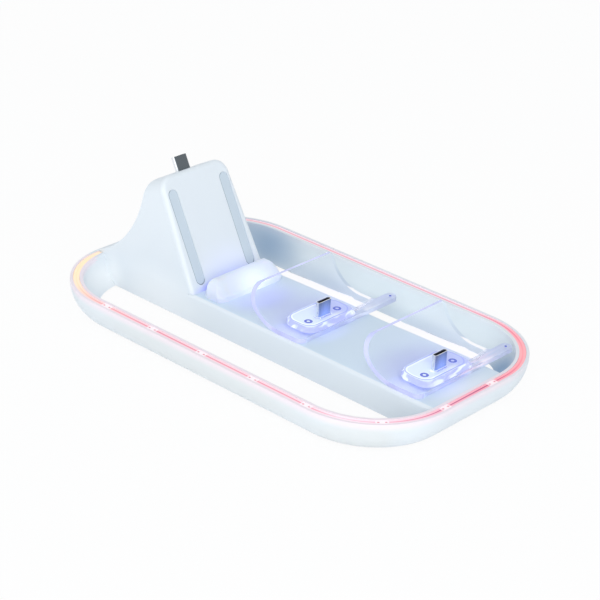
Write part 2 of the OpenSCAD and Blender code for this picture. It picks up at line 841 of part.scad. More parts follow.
// Outline of the plateau, spread by a distance
module boss_plan(spread) {
    x0 = -boss_left - boss_w / 2 - spread;
    x1 = -boss_left + boss_w / 2 + spread;
    y = boss_l / 2 + spread;
    left_r = boss_left_r + spread;
    right_r = boss_right_r + spread;
    polygon(rounded_box(x0, x1, boss_back - y, boss_back + y, [left_r, right_r, right_r, left_r]));
}

module cradle_boss() {
    thin = fit / 2;
    hull() {
        translate([0, 0, sheet_t - fit]) linear_extrude(thin) boss_plan(boss_spread);
        translate([0, 0, boss_h - thin]) linear_extrude(thin) boss_plan(0);
    }
    translate([0, 0, boss_h - fit]) {
        linear_extrude(collar_h + fit) stadium(shell_w + 2 * collar_w, shell_d + 2 * collar_w);
    }
}

collar_h = 0.5;
collar_w = 0.8;
cradle_screw_depth = boss_h - 1.2;

module cradle(x) {
    color([0.72, 0.78, 1.0, 0.5]) translate([x, 0, deck_z]) difference() {
        union() {
            cradle_sheet();
            cradle_boss();
        }
        translate([0, 0, -over]) linear_extrude(boss_h + collar_h + 2 * over) {
            stadium(shell_w + 2 * fit, shell_d + 2 * fit);
        }
        at_screws() translate([0, 0, -over]) {
            cylinder(h = cradle_screw_depth + over, d = screw_d + 2 * fit, $fn = 32);
        }
        translate([sheet_right - tongue_w / 2, beam_w / 2 + tongue_over - tongue_w / 2, -over]) {
            cylinder(h = sheet_t + 2 * over, d = tongue_hole_d, $fn = 24);
        }
    }
}

// Plugs: a drawn steel shell over a black insert with a slot

// Length of a plug whose board lies below a wall, with the shell standing free above it
function plug_l(wall) = wall + spacer_h + shell_out;

// Distance from the face to the plug on the tower's top
tower_plug_in = panel_t + tower_web + board_clear + head_d / 2;

module plug_shell(long) {
    color([0.72, 0.74, 0.78]) linear_extrude(long) difference() {
        stadium(shell_w, shell_d);
        stadium(shell_w - 2 * shell_wall, shell_d - 2 * shell_wall);
    }
}

module plug_insert(long) {
    slot_deep = shell_out - 1;
    color([0.08, 0.08, 0.09]) difference() {
        linear_extrude(long - 2 * fit) stadium(shell_w - 2 * shell_wall, shell_d - 2 * shell_wall);
        translate([-slot_h / 2, -slot_w / 2, long - slot_deep]) cube([slot_h, slot_w, slot_deep + over]);
    }
}

module on_plug_board(x) {
    translate([x, 0, plug_board_z + board_t]) children();
}

module on_tower_board() {
    on_face() translate([-tower_plug_in, 0, face_h - tower_top_t - spacer_h]) children();
}

cradle_plug_l = plug_l(deck_t + boss_h + collar_h);
tower_plug_l = plug_l(tower_top_t);

// Circuit boards

module plug_board(w, light) {
    color([0.10, 0.35, 0.22]) difference() {
        translate([-w / 2, -plug_board_l / 2, -board_t]) cube([w, plug_board_l, board_t]);
        at_screws() translate([0, 0, -board_t - over]) {
            cylinder(h = board_t + 2 * over, d = screw_d + 2 * fit, $fn = 32);
        }
    }
    // Socket for the ribbon, under the board
    color([0.95, 0.95, 0.92]) translate([-socket_w / 2, -socket_l / 2, -board_t - socket_h]) {
        cube([socket_w, socket_l, socket_h + fit]);
    }
    // Lights beside the plug
    if (light) {
        color([0.95, 0.95, 0.75]) for (s = [-1, 1]) {
            translate([s * (shell_d + lamp) / 2 - lamp / 2, s - lamp / 2, -fit]) cube([lamp, lamp, light_h + fit]);
        }
    }
}

socket_w = 3;
socket_l = 7;
socket_h = 1.2;
socket_gap = 1;
lamp = 1.6;

module rest_light_board() {
    board_w = 6;
    board_l = rest_light_l + 4;
    z = deck_under_z - fit;
    color([0.10, 0.35, 0.22]) translate([rest_light_x - board_w / 2, -board_l / 2, z - board_t]) {
        cube([board_w, board_l, board_t]);
    }
    color([0.95, 0.95, 0.75]) for (i = [-1.5:1:1.5]) {
        translate([rest_light_x - lamp / 2, i * board_l / 4 - lamp / 2, z - fit]) cube([lamp, lamp, light_h]);
    }
}

// Clearance between the main board and the ring's wall
main_clear = 1.5;
main_x = -half_l + band(ring_wall, main_z)[0] + main_clear;
inlet_z = main_z + main_t;

module main_board() {
    color([0.10, 0.35, 0.22]) difference() {
        translate([main_x, -main_w / 2, main_z]) cube([main_l, main_w, main_t]);
        at_main_posts() translate([0, 0, main_z - over]) {
            cylinder(h = main_t + 2 * over, d = screw_d + 2 * fit, $fn = 32);
        }
    }
    // Charge controller, coil and ribbon sockets
    color([0.12, 0.12, 0.13]) {
        translate([main_x + inlet_l + chip_w / 2, -chip_w / 2, inlet_z - fit]) cube([chip_w, chip_w, chip_h]);
        translate([main_x + inlet_l + chip_w / 2, chip_w, inlet_z - fit]) cube([coil_w, coil_w, coil_h]);
    }
    color([0.95, 0.95, 0.92]) {
        translate([main_x + main_l - socket_in, -socket_l - socket_gap / 2, inlet_z - fit]) {
            cube([socket_w, 2 * socket_l + socket_gap, socket_h]);
        }
        translate([tower_ribbon_x - socket_w / 2, -socket_l / 2, inlet_z - fit]) cube([socket_w, socket_l, socket_h]);
    }
}

// Power inlet at the hidden end, below the tower

module at_inlet() {
    translate([-half_l, 0, inlet_z + inlet_h / 2]) rotate([0, 90, 0]) children();
}

// The inlet's mouth lies a little behind the ring's outer face
inlet_recess = 0.6;
inlet_in = band(0, inlet_z + inlet_h / 2)[0] + inlet_recess;

module inlet_shell() {
    color([0.72, 0.74, 0.78]) at_inlet() translate([0, 0, inlet_in]) difference() {
        linear_extrude(inlet_l) stadium(inlet_w, inlet_h);
        translate([0, 0, -over]) linear_extrude(inlet_l - 1 + over) {
            stadium(inlet_w - 2 * shell_wall, inlet_h - 2 * shell_wall);
        }
    }
}

module inlet_tongue() {
    tongue = [0.7, 6.69, inlet_l - 2];
    color([0.08, 0.08, 0.09]) at_inlet() {
        translate([-tongue[0] / 2, -tongue[1] / 2, inlet_in + 0.5]) cube([tongue[0], tongue[1], inlet_l - 1.5]);
    }
}

// Ribbon cables

// Thin strip along an XZ route, ribbon_t thick
module ribbon(route, y) {
    n = len(route);
    color([0.85, 0.86, 0.88]) along_y(y - ribbon_w / 2, y + ribbon_w / 2) {
        polygon(concat(route, [for (i = [n - 1:-1:0]) route[i] + [0, ribbon_t]]));
    }
}

tower_ribbon_x = main_x + main_l - tower_socket_in;

// Route from the main board along the cover's floor to the board under the plug at x
function floor_route(x) =
    let (
        start = main_x + main_l - socket_in + socket_w, bend = start + socket_w,
        board = plug_board_z - socket_h - ribbon_t, rise = x - plug_board_w / 2
    )
    [
        [start, inlet_z + ribbon_t], [bend, inlet_z + ribbon_t],
        [bend + inlet_z - cover_z, cover_z], [rise - board + cover_z, cover_z],
        [rise, board], [x + socket_w / 2, board]
    ];

module ribbon_tower() {
    low = [tower_ribbon_x, inlet_z + socket_h - fit];
    socket = face_foot + up * (face_h - tower_top_t - spacer_h - board_t - socket_h) + back * tower_plug_in;
    color([0.85, 0.86, 0.88]) along_y(-ribbon_w / 2, ribbon_w / 2) polygon([
        low, low + [ribbon_t, 0], socket + [ribbon_t, 0], socket
    ]);
}

// Screws

module pan_screw(long) {
    cylinder(h = long, d = screw_d, $fn = 32);
    translate([0, 0, -head_h]) cylinder(h = head_h, d = head_d, $fn = 32);
}

module cradle_screws() {
    long = board_t + spacer_h + deck_t + cradle_screw_depth - 2 * fit;
    color([0.60, 0.62, 0.66]) at_plugs() at_screws() {
        translate([0, 0, plug_board_z]) pan_screw(long);
    }
}

module tower_board_screws() {
    color([0.60, 0.62, 0.66]) on_tower_board() at_screws() {
        translate([0, 0, -board_t]) pan_screw(board_t + spacer_h);
    }
}

module main_board_screws() {
    color([0.60, 0.62, 0.66]) at_main_posts() translate([0, 0, main_z + main_t]) {
        mirror([0, 0, 1]) pan_screw(main_t + main_post_h);
    }
}

module cover_screws() {
    color([0.60, 0.62, 0.66]) at_cover_screws() {
        translate([0, 0, under_z + head_h - fit]) pan_screw(cover_t - head_h + cover_screw_l - 2 * fit);
    }
}

// Feet

module ring_foot(sx, sy) {
    color([0.55, 0.57, 0.60]) translate([sx * (half_l - foot_in), sy * (half_w - foot_out_in), 0]) rotate(90) {
        linear_extrude(foot_h + foot_pocket) stadium(foot_l, foot_w);
    }
}

module round_foot(x) {
    color([0.55, 0.57, 0.60]) translate([x, 0, 0]) {
        cylinder(h = foot_h + foot_pocket, d = round_foot_d, $fn = 64);
    }
}

housing();
bottom_cover();
tower_panel();
grip_pad(-1);  // pad_front
grip_pad(1);  // pad_back
rest_block();
light_guide();
light_flex();
cradle(plug_1_x);  // cradle_1
cradle(plug_2_x);  // cradle_2
on_plug_board(plug_1_x) plug_shell(cradle_plug_l);  // plug_shell_1
on_plug_board(plug_2_x) plug_shell(cradle_plug_l);  // plug_shell_2
on_tower_board() plug_shell(tower_plug_l);  // plug_shell_tower
on_plug_board(plug_1_x) plug_insert(cradle_plug_l);  // plug_insert_1
on_plug_board(plug_2_x) plug_insert(cradle_plug_l);  // plug_insert_2
on_tower_board() plug_insert(tower_plug_l);  // plug_insert_tower
on_plug_board(plug_1_x) plug_board(plug_board_w, true);  // plug_board_1
on_plug_board(plug_2_x) plug_board(plug_board_w, true);  // plug_board_2
on_tower_board() plug_board(post_d, false);  // plug_board_tower
rest_light_board();
main_board();
inlet_shell();
inlet_tongue();
ribbon(floor_route(plug_1_x), -(socket_l + socket_gap) / 2);  // ribbon_1
ribbon(floor_route(plug_2_x), (socket_l + socket_gap) / 2);  // ribbon_2
ribbon_tower();
cradle_screws();
tower_board_screws();
main_board_screws();
cover_screws();
ring_foot(-1, -1);  // foot_front_left
ring_foot(1, -1);  // foot_front_right
ring_foot(-1, 1);  // foot_back_left
ring_foot(1, 1);  // foot_back_right
round_foot(-round_foot_x);  // foot_beam_left
round_foot(round_foot_x);  // foot_beam_right
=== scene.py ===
# %% [markdown]
# # A charging dock with a lit rim and clear cradles
# The dock is a leaning ring with a beam across it, a tower at one end and two clear cradles.
# Its measured solids come from the CAD frame, in metres, and stay where they are. This lesson
# gives each one its finish, smooths the shading of the curved ones, and adds the small details
# that a CAD solid lacks. Places are written in millimetres, and times MM they are metres.

# %% Load the measured frame
import json
import math

import bpy
from mathutils import Matrix, Vector

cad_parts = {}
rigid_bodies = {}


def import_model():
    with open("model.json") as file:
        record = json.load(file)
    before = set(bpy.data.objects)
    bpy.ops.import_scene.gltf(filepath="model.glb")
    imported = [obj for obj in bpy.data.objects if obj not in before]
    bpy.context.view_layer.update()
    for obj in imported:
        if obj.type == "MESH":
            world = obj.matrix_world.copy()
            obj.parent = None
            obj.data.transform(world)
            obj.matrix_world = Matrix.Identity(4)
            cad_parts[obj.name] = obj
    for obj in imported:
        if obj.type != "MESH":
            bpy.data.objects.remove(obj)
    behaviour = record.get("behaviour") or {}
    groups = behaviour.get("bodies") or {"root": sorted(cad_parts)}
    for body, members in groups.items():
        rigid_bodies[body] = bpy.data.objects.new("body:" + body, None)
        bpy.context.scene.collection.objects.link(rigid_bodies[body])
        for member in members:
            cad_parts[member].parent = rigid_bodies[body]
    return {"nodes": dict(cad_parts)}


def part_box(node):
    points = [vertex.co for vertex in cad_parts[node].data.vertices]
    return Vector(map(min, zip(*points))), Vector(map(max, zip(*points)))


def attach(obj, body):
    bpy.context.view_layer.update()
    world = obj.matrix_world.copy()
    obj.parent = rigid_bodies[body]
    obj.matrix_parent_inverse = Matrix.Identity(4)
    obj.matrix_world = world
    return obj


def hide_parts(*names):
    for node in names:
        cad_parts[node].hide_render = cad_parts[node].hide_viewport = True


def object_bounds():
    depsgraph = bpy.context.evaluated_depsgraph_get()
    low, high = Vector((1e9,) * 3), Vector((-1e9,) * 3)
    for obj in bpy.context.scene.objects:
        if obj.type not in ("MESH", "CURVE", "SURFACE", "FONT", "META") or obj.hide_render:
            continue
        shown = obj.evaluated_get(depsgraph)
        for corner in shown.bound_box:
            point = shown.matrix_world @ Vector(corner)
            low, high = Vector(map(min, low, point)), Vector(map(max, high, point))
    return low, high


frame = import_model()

MM = 0.001
cad_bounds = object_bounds()
print("nodes:", len(frame["nodes"]), "bounds in mm:", [[round(v / MM, 1) for v in p] for p in cad_bounds])

# %% [markdown]
# The dock stands on the table, z = 0, with the middle of its box at the origin. Its long sides
# lie along X with the tower at the -X end, and its front looks along -Y. The length, the width
# and the plugs' places are read off the solids. The other sizes repeat values of the CAD source,
# and each one that only a single piece needs stands with that piece.

# %% Main sizes in millimetres
HALF_L, HALF_W = (round(v / MM, 1) for v in cad_bounds[1][:2])
CORNER_R = 40.0
RIM_Z, DECK_Z = 14.7, 14.4


def middle(node):
    """The middle of a node's box, in millimetres."""
    low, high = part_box(node)
    return (Vector(low) + Vector(high)) / 2 / MM


PLUGS = [round(middle(f"plug_shell_{number}").x, 1) for number in (1, 2)]
print("half length and width:", HALF_L, HALF_W, "and the cradles' plugs stand at x =", PLUGS)

# %% [markdown]
# ## The camera
# The photograph was taken with a long lens, from the front right and a little above, and the
# picture is turned by three degrees. A camera is a place, a direction and a turn about that
# direction, so its matrix is built from the three directions right, up and back.

# %% Camera
FOCAL_PIXELS, FRAME_PIXELS = 1937.05, 600
CAMERA_DISTANCE = 855.995
target = Vector((-4.414, 8.844, 14.7))
azimuth, elevation, roll = (math.radians(a) for a in (41.525, 26.375, 3.0))
back = Vector((
    math.sin(azimuth) * math.cos(elevation), -math.cos(azimuth) * math.cos(elevation), math.sin(elevation)
))
level = Vector((math.cos(azimuth), math.sin(azimuth), 0))
right = level * math.cos(roll) + back.cross(level) * math.sin(roll)
camera_data = bpy.data.cameras.new("camera")
camera_data.sensor_width = 36
camera_data.lens = FOCAL_PIXELS / FRAME_PIXELS * camera_data.sensor_width
camera_data.clip_start, camera_data.clip_end = 0.05, 20
camera = bpy.data.objects.new("camera", camera_data)
bpy.context.scene.collection.objects.link(camera)
turn = Matrix((right, back.cross(right), back)).transposed().to_4x4()
camera.matrix_world = Matrix.Translation((target + back * CAMERA_DISTANCE) * MM) @ turn
bpy.context.scene.camera = camera
print("lens in mm:", round(camera_data.lens, 2), "camera at", [round(v, 4) for v in camera.location])

# %% [markdown]
# ## Helpers for shapes
# An operator works on all that is selected, so each step starts by selecting one object alone.
# A CAD node's mesh is loose triangles. A copy of it is merged, its sharp edges get a bevel, and its
# normals are weighted so that flat faces stay flat. The bevel is kept from overlapping itself, and
# a CAD mesh has very short edges, so it comes out far narrower than the radius that is asked for:
# some hundredths of a millimetre at most, and next to nothing on the housing and the cradles. A
# bevel that shows would need those short edges dissolved first. The rounding seen is the CAD's.

# %% Select, copy and round
MERGE = 0.002 * MM
SHARP_ANGLE = math.radians(32)


def select_only(piece):
    """Makes one object the only selected and the active one."""
    for other in bpy.context.selected_objects:
        other.select_set(False)
    piece.select_set(True)
    bpy.context.view_layer.objects.active = piece


def in_edit_mode(piece, step):
    """Runs a step of mesh operators on all of a piece."""
    select_only(piece)
    bpy.ops.object.mode_set(mode="EDIT")
    bpy.ops.mesh.select_all(action="SELECT")
    step()
    bpy.ops.object.mode_set(mode="OBJECT")


def apply_all(piece):
    """Applies the modifiers of a piece, in their order."""
    select_only(piece)
    for modifier in list(piece.modifiers):
        bpy.ops.object.modifier_apply(modifier=modifier.name)


def rounded_copy(node, name, radius, smooth_angle=30.0, shape=None):
    """A merged copy of a CAD node, bevelled as far as its short edges let it, that stands for the node."""
    piece = bpy.data.objects.new(name, frame["nodes"][node].data.copy())
    bpy.context.scene.collection.objects.link(piece)
    piece.data.materials.clear()

    def merge():
        bpy.ops.mesh.remove_doubles(threshold=MERGE)

    in_edit_mode(piece, merge)
    if shape:
        shape(piece)
    if radius:
        bevel = piece.modifiers.new("rounded edges", "BEVEL")
        bevel.width, bevel.segments = radius * MM, 2
        bevel.limit_method, bevel.angle_limit = "ANGLE", SHARP_ANGLE
        bevel.use_clamp_overlap, bevel.miter_outer = True, "MITER_ARC"
        apply_all(piece)
    select_only(piece)
    bpy.ops.object.shade_smooth_by_angle(angle=math.radians(smooth_angle))
    weighted = piece.modifiers.new("flat faces stay flat", "WEIGHTED_NORMAL")
    weighted.keep_sharp, weighted.weight = True, 80
    apply_all(piece)
    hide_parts(node)
    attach(piece, "root")
    print(name, "has", len(piece.data.polygons), "faces")
    return piece


# %% [markdown]
# ## Helpers for materials
# Every material is a small graph of nodes. These helpers add a node, join two sockets and do
# sums, so that each finish further down reads like a short recipe.

# %% Nodes and sums
def new_material(name, colour, roughness):
    """A material with one Principled shader. Its plain colour and roughness stay on the sockets."""
    material = bpy.data.materials.new(name)
    material.use_nodes = True
    shader = material.node_tree.nodes["Principled BSDF"]
    shader.inputs["Base Color"].default_value = (*colour, 1)
    shader.inputs["Roughness"].default_value = roughness
    return material, shader


def feed(material, socket, value):
    """Joins a socket to an input, or sets the input to a plain value."""
    if isinstance(value, bpy.types.NodeSocket):
        material.node_tree.links.new(value, socket)
    else:
        socket.default_value = value


def add(material, kind, **inputs):
    """A new node with values or sockets for its inputs, which go by name, or by number as i0, i1."""
    made = material.node_tree.nodes.new(kind)
    for key, value in inputs.items():
        numbered = key[0] == "i" and key[1:].isdigit()
        feed(material, made.inputs[int(key[1:]) if numbered else key], value)
    return made


def calc(material, operation, a, b=0.0):
    """One sum on one or two values or sockets."""
    made = add(material, "ShaderNodeMath", i0=a, i1=b)
    made.operation = operation
    return made.outputs[0]


def times(material, a, b):
    """The product of two values or sockets."""
    return calc(material, "MULTIPLY", a, b)


def total(material, parts):
    """The sum of several (socket, weight) pairs."""
    result = 0.0
    for socket, weight in parts:
        step = add(material, "ShaderNodeMath", i0=socket, i1=weight, i2=result)
        step.operation = "MULTIPLY_ADD"
        result = step.outputs[0]
    return result


def spread(material, value, low, high, to_low=0.0, to_high=1.0):
    """A value of one range carried over to another one, with a soft start and end."""
    made = add(material, "ShaderNodeMapRange", i0=value, i1=low, i2=high, i3=to_low, i4=to_high)
    made.interpolation_type = "SMOOTHSTEP"
    return made.outputs[0]


def blend(material, factor, first, second):
    """A colour between two colours or sockets."""
    mix = add(material, "ShaderNodeMix", Factor=factor)
    mix.data_type = "RGBA"
    for socket, value in ((mix.inputs[6], first), (mix.inputs[7], second)):
        feed(material, socket, value if isinstance(value, bpy.types.NodeSocket) else (*value, 1))
    return mix.outputs[2]


def tell(material):
    """Prints how large a finish has become."""
    print("finish", material.name, "has", len(material.node_tree.nodes), "nodes")


# %% [markdown]
# Two patterns do most of the work. A pool is 1 at a place and fades out round it, so it marks
# where light gathers or is missing. A cloud is soft noise. Both use Object coordinates, which are
# metres from the origin because every piece's object sits there, so they stay on the surface from
# whichever side it is seen.

# %% Pools and clouds
def place(material):
    """The point of the surface in metres."""
    return add(material, "ShaderNodeTexCoord").outputs["Object"]


def axes(material, output="Object"):
    """The three parts of the surface's point in metres, or of its direction."""
    point = add(material, "ShaderNodeTexCoord").outputs[output]
    return add(material, "ShaderNodeSeparateXYZ", Vector=point).outputs


def pool(material, centre, radii):
    """1 at a centre, fading smoothly to 0 on an ellipsoid round it; both in millimetres."""
    offset = add(material, "ShaderNodeVectorMath", i0=place(material), i1=[c * MM for c in centre])
    offset.operation = "SUBTRACT"
    scaled = add(material, "ShaderNodeVectorMath", i0=offset.outputs[0], i1=[1 / (r * MM) for r in radii])
    scaled.operation = "MULTIPLY"
    length = add(material, "ShaderNodeVectorMath", i0=scaled.outputs[0])
    length.operation = "LENGTH"
    fade = add(material, "ShaderNodeMapRange", i0=length.outputs["Value"], i1=0.0, i2=1.0, i3=1.0, i4=0.0)
    fade.interpolation_type = "SMOOTHERSTEP"
    return fade.outputs[0]


def pools(material, spots):
    """The sum of several pools, each a (centre, radii, weight)."""
    return total(material, [(pool(material, centre, radii), weight) for centre, radii, weight in spots])


def cloud(material, size, detail=1.0, stretch=(1, 1, 1), warp=0.0):
    """Noise from 0 to 1 with patches of a size in millimetres, which can be stretched."""
    scaled = add(material, "ShaderNodeMapping", Vector=place(material), Scale=[1 / k for k in stretch])
    made = add(material, "ShaderNodeTexNoise", Vector=scaled.outputs[0], Scale=1 / (size * MM), Detail=detail)
    made.inputs["Distortion"].default_value = warp
    return made.outputs[0]


# %% [markdown]
# Moulded plastic, rubber and plated screws aren't quite smooth. A fine noise drives a bump, and a
# broad one varies the gloss a little, so that a highlight breaks up as it does on a real surface.

# %% Textured materials
def textured_material(name, colour, roughness, size, depth, variation=0.05):
    """A material with fine bumps of a size and depth in millimetres, and with uneven gloss."""
    material, shader = new_material(name, colour, roughness)
    fine = add(material, "ShaderNodeTexNoise", Vector=place(material), Scale=1 / (size * MM), Detail=2.0)
    bump = add(material, "ShaderNodeBump", Strength=1.0, Distance=depth * MM, Height=fine.outputs[0])
    feed(material, shader.inputs["Normal"], bump.outputs[0])
    broad = add(material, "ShaderNodeTexNoise", Vector=place(material), Scale=90.0, Detail=3.0)
    gloss = add(
        material, "ShaderNodeMapRange", i0=broad.outputs[0], i1=0.3, i2=0.7,
        i3=roughness - variation, i4=roughness + variation
    )
    feed(material, shader.inputs["Roughness"], gloss.outputs[0])
    return material, shader


# %% [markdown]
# ## Moulded housing
# The real housing is injection moulded in a very pale cool white, with a fine satin texture. Its
# inner walls fall into a blue shade behind the tower and in the right corner, its outer front into a
# little grey shade, and the tower's front side, the ring's left end and the inner back wall catch more
# light. Such soft light and shade could be traced, which is slow and noisy, so pools paint them into
# the body colour instead. Each one has a centre, radii and weight.

# %% Body colour
BODY, BODY_SHADE, BODY_LIGHT = (0.80, 0.855, 0.895), (0.76, 0.825, 0.88), (0.92, 0.955, 0.975)
HOLLOW_SHADE, OUTER_FRONT_SHADE, BACK_WALL_LIGHT = (0.22, 0.37, 0.57), (0.745, 0.785, 0.80), (0.87, 0.96, 1.0)
# Pools of painted shade, of painted light, and of the outer front's painted grey shade.
SHADE_POOLS = [
    ((-76, 53, 6), (38, 12, 30), 0.42),  # behind the tower
    ((-60, 53, 4), (25, 12, 26), 0.40),  # beside the tower's back edge
    ((87, 43, 1), (22, 17, 15), 0.95),  # back right corner
    ((20, 50, 0), (95, 9, 9), 0.25),  # foot of the back wall
    ((-32, 51, 1), (36, 9, 12), 0.22),  # its left part
]
LIGHT_POOLS = [
    ((-92, -30, 6), (12, 30, 14), 1.0),  # the ring's left end
    ((-62, -24, 6), (40, 8, 22), 0.8),  # the tower's front side
]
FRONT_SHADE_POOLS = [
    ((3, -62, 6), (111, 9, 20), 1.6),  # outer front
    ((86, -53, 5), (34, 21, 18), 1.5),  # its right corner
]
DEEPEST_SHADE = 0.85
print("pools that shade the body:", len(SHADE_POOLS + LIGHT_POOLS + FRONT_SHADE_POOLS))


def shaded_body(finish):
    """The body colour, with light and shade painted where the lamps reach the walls more or less."""
    base = blend(finish, cloud(finish, 30), BODY, BODY_SHADE)
    base = blend(finish, calc(finish, "MINIMUM", pools(finish, LIGHT_POOLS), 1.0), base, BODY_LIGHT)
    base = blend(finish, calc(finish, "MINIMUM", pools(finish, FRONT_SHADE_POOLS), 1.0), base, OUTER_FRONT_SHADE)
    inward = spread(finish, axes(finish, "Normal")[1], -0.05, -0.3)
    back_wall_light = times(finish, pool(finish, (20, 54, 8), (120, 14, 40)), inward)
    base = blend(finish, back_wall_light, base, BACK_WALL_LIGHT)
    shade = calc(finish, "MINIMUM", pools(finish, SHADE_POOLS), DEEPEST_SHADE)
    return blend(finish, times(finish, shade, inward), base, HOLLOW_SHADE)


# %% [markdown]
# The deck is the level top of the beam. It is painted cooler and darker than the rest, as shade and
# blue light on a level face, darker and bluer still round the clear cradles and beside the rest block,
# as painted shade, and paler at its right end. The lamps of the plugs and the block shine on it, so
# pools of a faint painted blue glow lie round them. A very flat pool keeps the deck's colour off the
# rim, which is only 0.3 mm higher.

# %% Deck
# The deck's colour and the darker one under the cradles are painted shade; its glow is painted lamp light.
DECK, DECK_UNDER_SHADE, DECK_END = (0.66, 0.785, 0.90), (0.50, 0.59, 0.78), (0.80, 0.87, 0.95)
DECK_GLOW = (0.30, 0.26, 1.0, 1)


def deck_pools(spots):
    """Pools on the deck from (x, y, radii, weight)."""
    return [((x, y, DECK_Z), radii, weight) for x, y, radii, weight in spots]


UNDER_SHADE_POOLS = deck_pools(
    [(plug - 14, 0, (24, 32, 3), 1.0) for plug in PLUGS] + [(-15, -2, (15, 28, 3), 0.8)]
)
GLOW_POOLS = []
for plug in PLUGS:
    GLOW_POOLS += deck_pools([
        (plug - 3, 0, (28, 30, 9), 0.07), (plug - 2, 0, (15, 20, 4), 0.22),
        (plug + 10, -6, (7, 17, 3), 0.10), (plug - 3, -17, (12, 8, 3), 0.25),
    ])
GLOW_POOLS += deck_pools([(-38, 0, (8, 25, 4), 0.5), (-20, -2, (20, 26, 5), 0.24)])
print("pools that light the deck:", len(GLOW_POOLS))


def satin_white(name):
    """The housing's finish, its shader, and the socket that carries its body and deck colours with their
    painted light and shade.
    """
    finish, shader = textured_material(name, BODY, 0.42, size=0.35, depth=0.006)
    level = spread(finish, axes(finish, "Normal")[2], 0.85, 0.97)
    on_deck = times(finish, level, pool(finish, (20, 0, DECK_Z), (400, 400, 0.25)))
    base = blend(finish, on_deck, shaded_body(finish), DECK)
    base = blend(finish, times(finish, pools(finish, UNDER_SHADE_POOLS), level), base, DECK_UNDER_SHADE)
    deck_end = times(finish, level, pool(finish, (97, 0, DECK_Z), (11, 30, 3)))
    return finish, shader, blend(finish, deck_end, base, DECK_END)


def deck_finish():
    """Satin white with the painted glow of the lamps on the deck."""
    finish, shader, base = satin_white("satin_white")
    feed(finish, shader.inputs["Base Color"], base)
    feed(finish, shader.inputs["Emission Strength"], pools(finish, GLOW_POOLS))
    shader.inputs["Emission Color"].default_value = DECK_GLOW
    tell(finish)
    return finish


# %% [markdown]
# The upper part of the ring's wall takes on the pink light of the strip in the rim, more at the
# front than at the back, painted as a tint and a glow. It is a second finish of the same moulding,
# chosen face by face.

# %% Rim of the housing
# The pink tint and the glow are the strip's light, painted on the wall.
RIM_PINK_LIGHT, RIM_GLOW = (0.92, 0.76, 0.82), (1.0, 0.72, 0.80, 1)
RIM_LOW, RIM_DEPTH = 10.5, 7.5
TOWER_X, TOWER_HALF_W = -80, 29


def rim_finish():
    """Satin white with the strip's pink light painted as a tint and a glow that grow towards the rim."""
    finish, shader, base = satin_white("satin_white_rim")
    y, z = axes(finish)[1:3]
    more_in_front = spread(finish, y, 10 * MM, 45 * MM, 0.6, 0.10)
    pink_light = times(finish, spread(finish, z, 11 * MM, RIM_Z * MM), more_in_front)
    feed(finish, shader.inputs["Base Color"], blend(finish, pink_light, base, RIM_PINK_LIGHT))
    upper = spread(finish, z, RIM_LOW * MM, RIM_Z * MM)
    glow_in_front = spread(finish, y, -35 * MM, 40 * MM, 0.05, 0.005)
    feed(finish, shader.inputs["Emission Strength"], times(finish, upper, glow_in_front))
    shader.inputs["Emission Color"].default_value = RIM_GLOW
    tell(finish)
    return finish


def on_rim(x, y, z):
    """Whether a point in millimetres lies on the upper part of the ring's wall."""
    cx = max(CORNER_R - HALF_L, min(HALF_L - CORNER_R, x))
    cy = max(CORNER_R - HALF_W, min(HALF_W - CORNER_R, y))
    in_wall = CORNER_R - math.hypot(x - cx, y - cy) < RIM_DEPTH
    beside_tower = x > TOWER_X or abs(y) > TOWER_HALF_W
    return RIM_LOW < z < RIM_Z + 0.1 and in_wall and beside_tower


# %% [markdown]
# The housing's copy carries both finishes, and each face of the upper wall gets the second one.

# %% Housing
housing = rounded_copy("housing", "moulded_housing", radius=0.22)
housing.data.materials.append(deck_finish())
housing.data.materials.append(rim_finish())
for face in housing.data.polygons:
    face.material_index = 1 if on_rim(*(face.center / MM)) else 0
print("faces on the rim:", sum(face.material_index for face in housing.data.polygons))

# %% [markdown]
# ## Face panel
# The face is a separate panel with a generous round edge, in the housing's plastic. Its foot takes
# on the blue light of the gap in front of it, painted as blue pools in its colour and a faint glow.

# %% Panel
FACE_FOOT = -39.5
PANEL, PANEL_SHADE = (0.80, 0.86, 0.90), (0.78, 0.84, 0.89)
# The foot's blue and the panel's glow are the gap's light, painted.
FOOT_BLUE_LIGHT, PANEL_GLOW = (0.22, 0.25, 0.95), (0.36, 0.36, 1.0, 1)
panel_finish, shader = textured_material("satin_panel", BODY, 0.38, size=0.35, depth=0.005)
drift = blend(panel_finish, cloud(panel_finish, 24), PANEL, PANEL_SHADE)
foot = pools(panel_finish, [
    ((FACE_FOOT, 0, DECK_Z), (5, 30, 5), 1.0),
    ((-41, 2, DECK_Z), (13, 30, 16), 0.04),
])
feed(panel_finish, shader.inputs["Base Color"], blend(panel_finish, foot, drift, FOOT_BLUE_LIGHT))
glow = pools(panel_finish, [
    ((FACE_FOOT, 0, DECK_Z), (7, 28, 6), 0.12),
    ((-42, 3, DECK_Z), (16, 30, 26), 0.10),
])
feed(panel_finish, shader.inputs["Emission Strength"], glow)
shader.inputs["Emission Color"].default_value = PANEL_GLOW
tell(panel_finish)
panel = rounded_copy("tower_panel", "face_panel", radius=0.12)
panel.data.materials.append(panel_finish)

# %% [markdown]
# ## Grip pads
# Two long pads of pale grey rubber lie in pockets of the panel. Where a pad meets its pocket there
# is a thin dark line of shade along its front side and round its lower end. The step there is too low
# to show it, so the line is painted shade in the finish and follows the pad's outline with its round ends.
# For that, two distances are worked out at each point: up the tilted face, and across it.

# %% Distances for outlines
FACE_TILT = math.radians(28)
facing = Vector((math.cos(FACE_TILT), 0, math.sin(FACE_TILT)))
uphill = Vector((-facing.z, 0, facing.x))


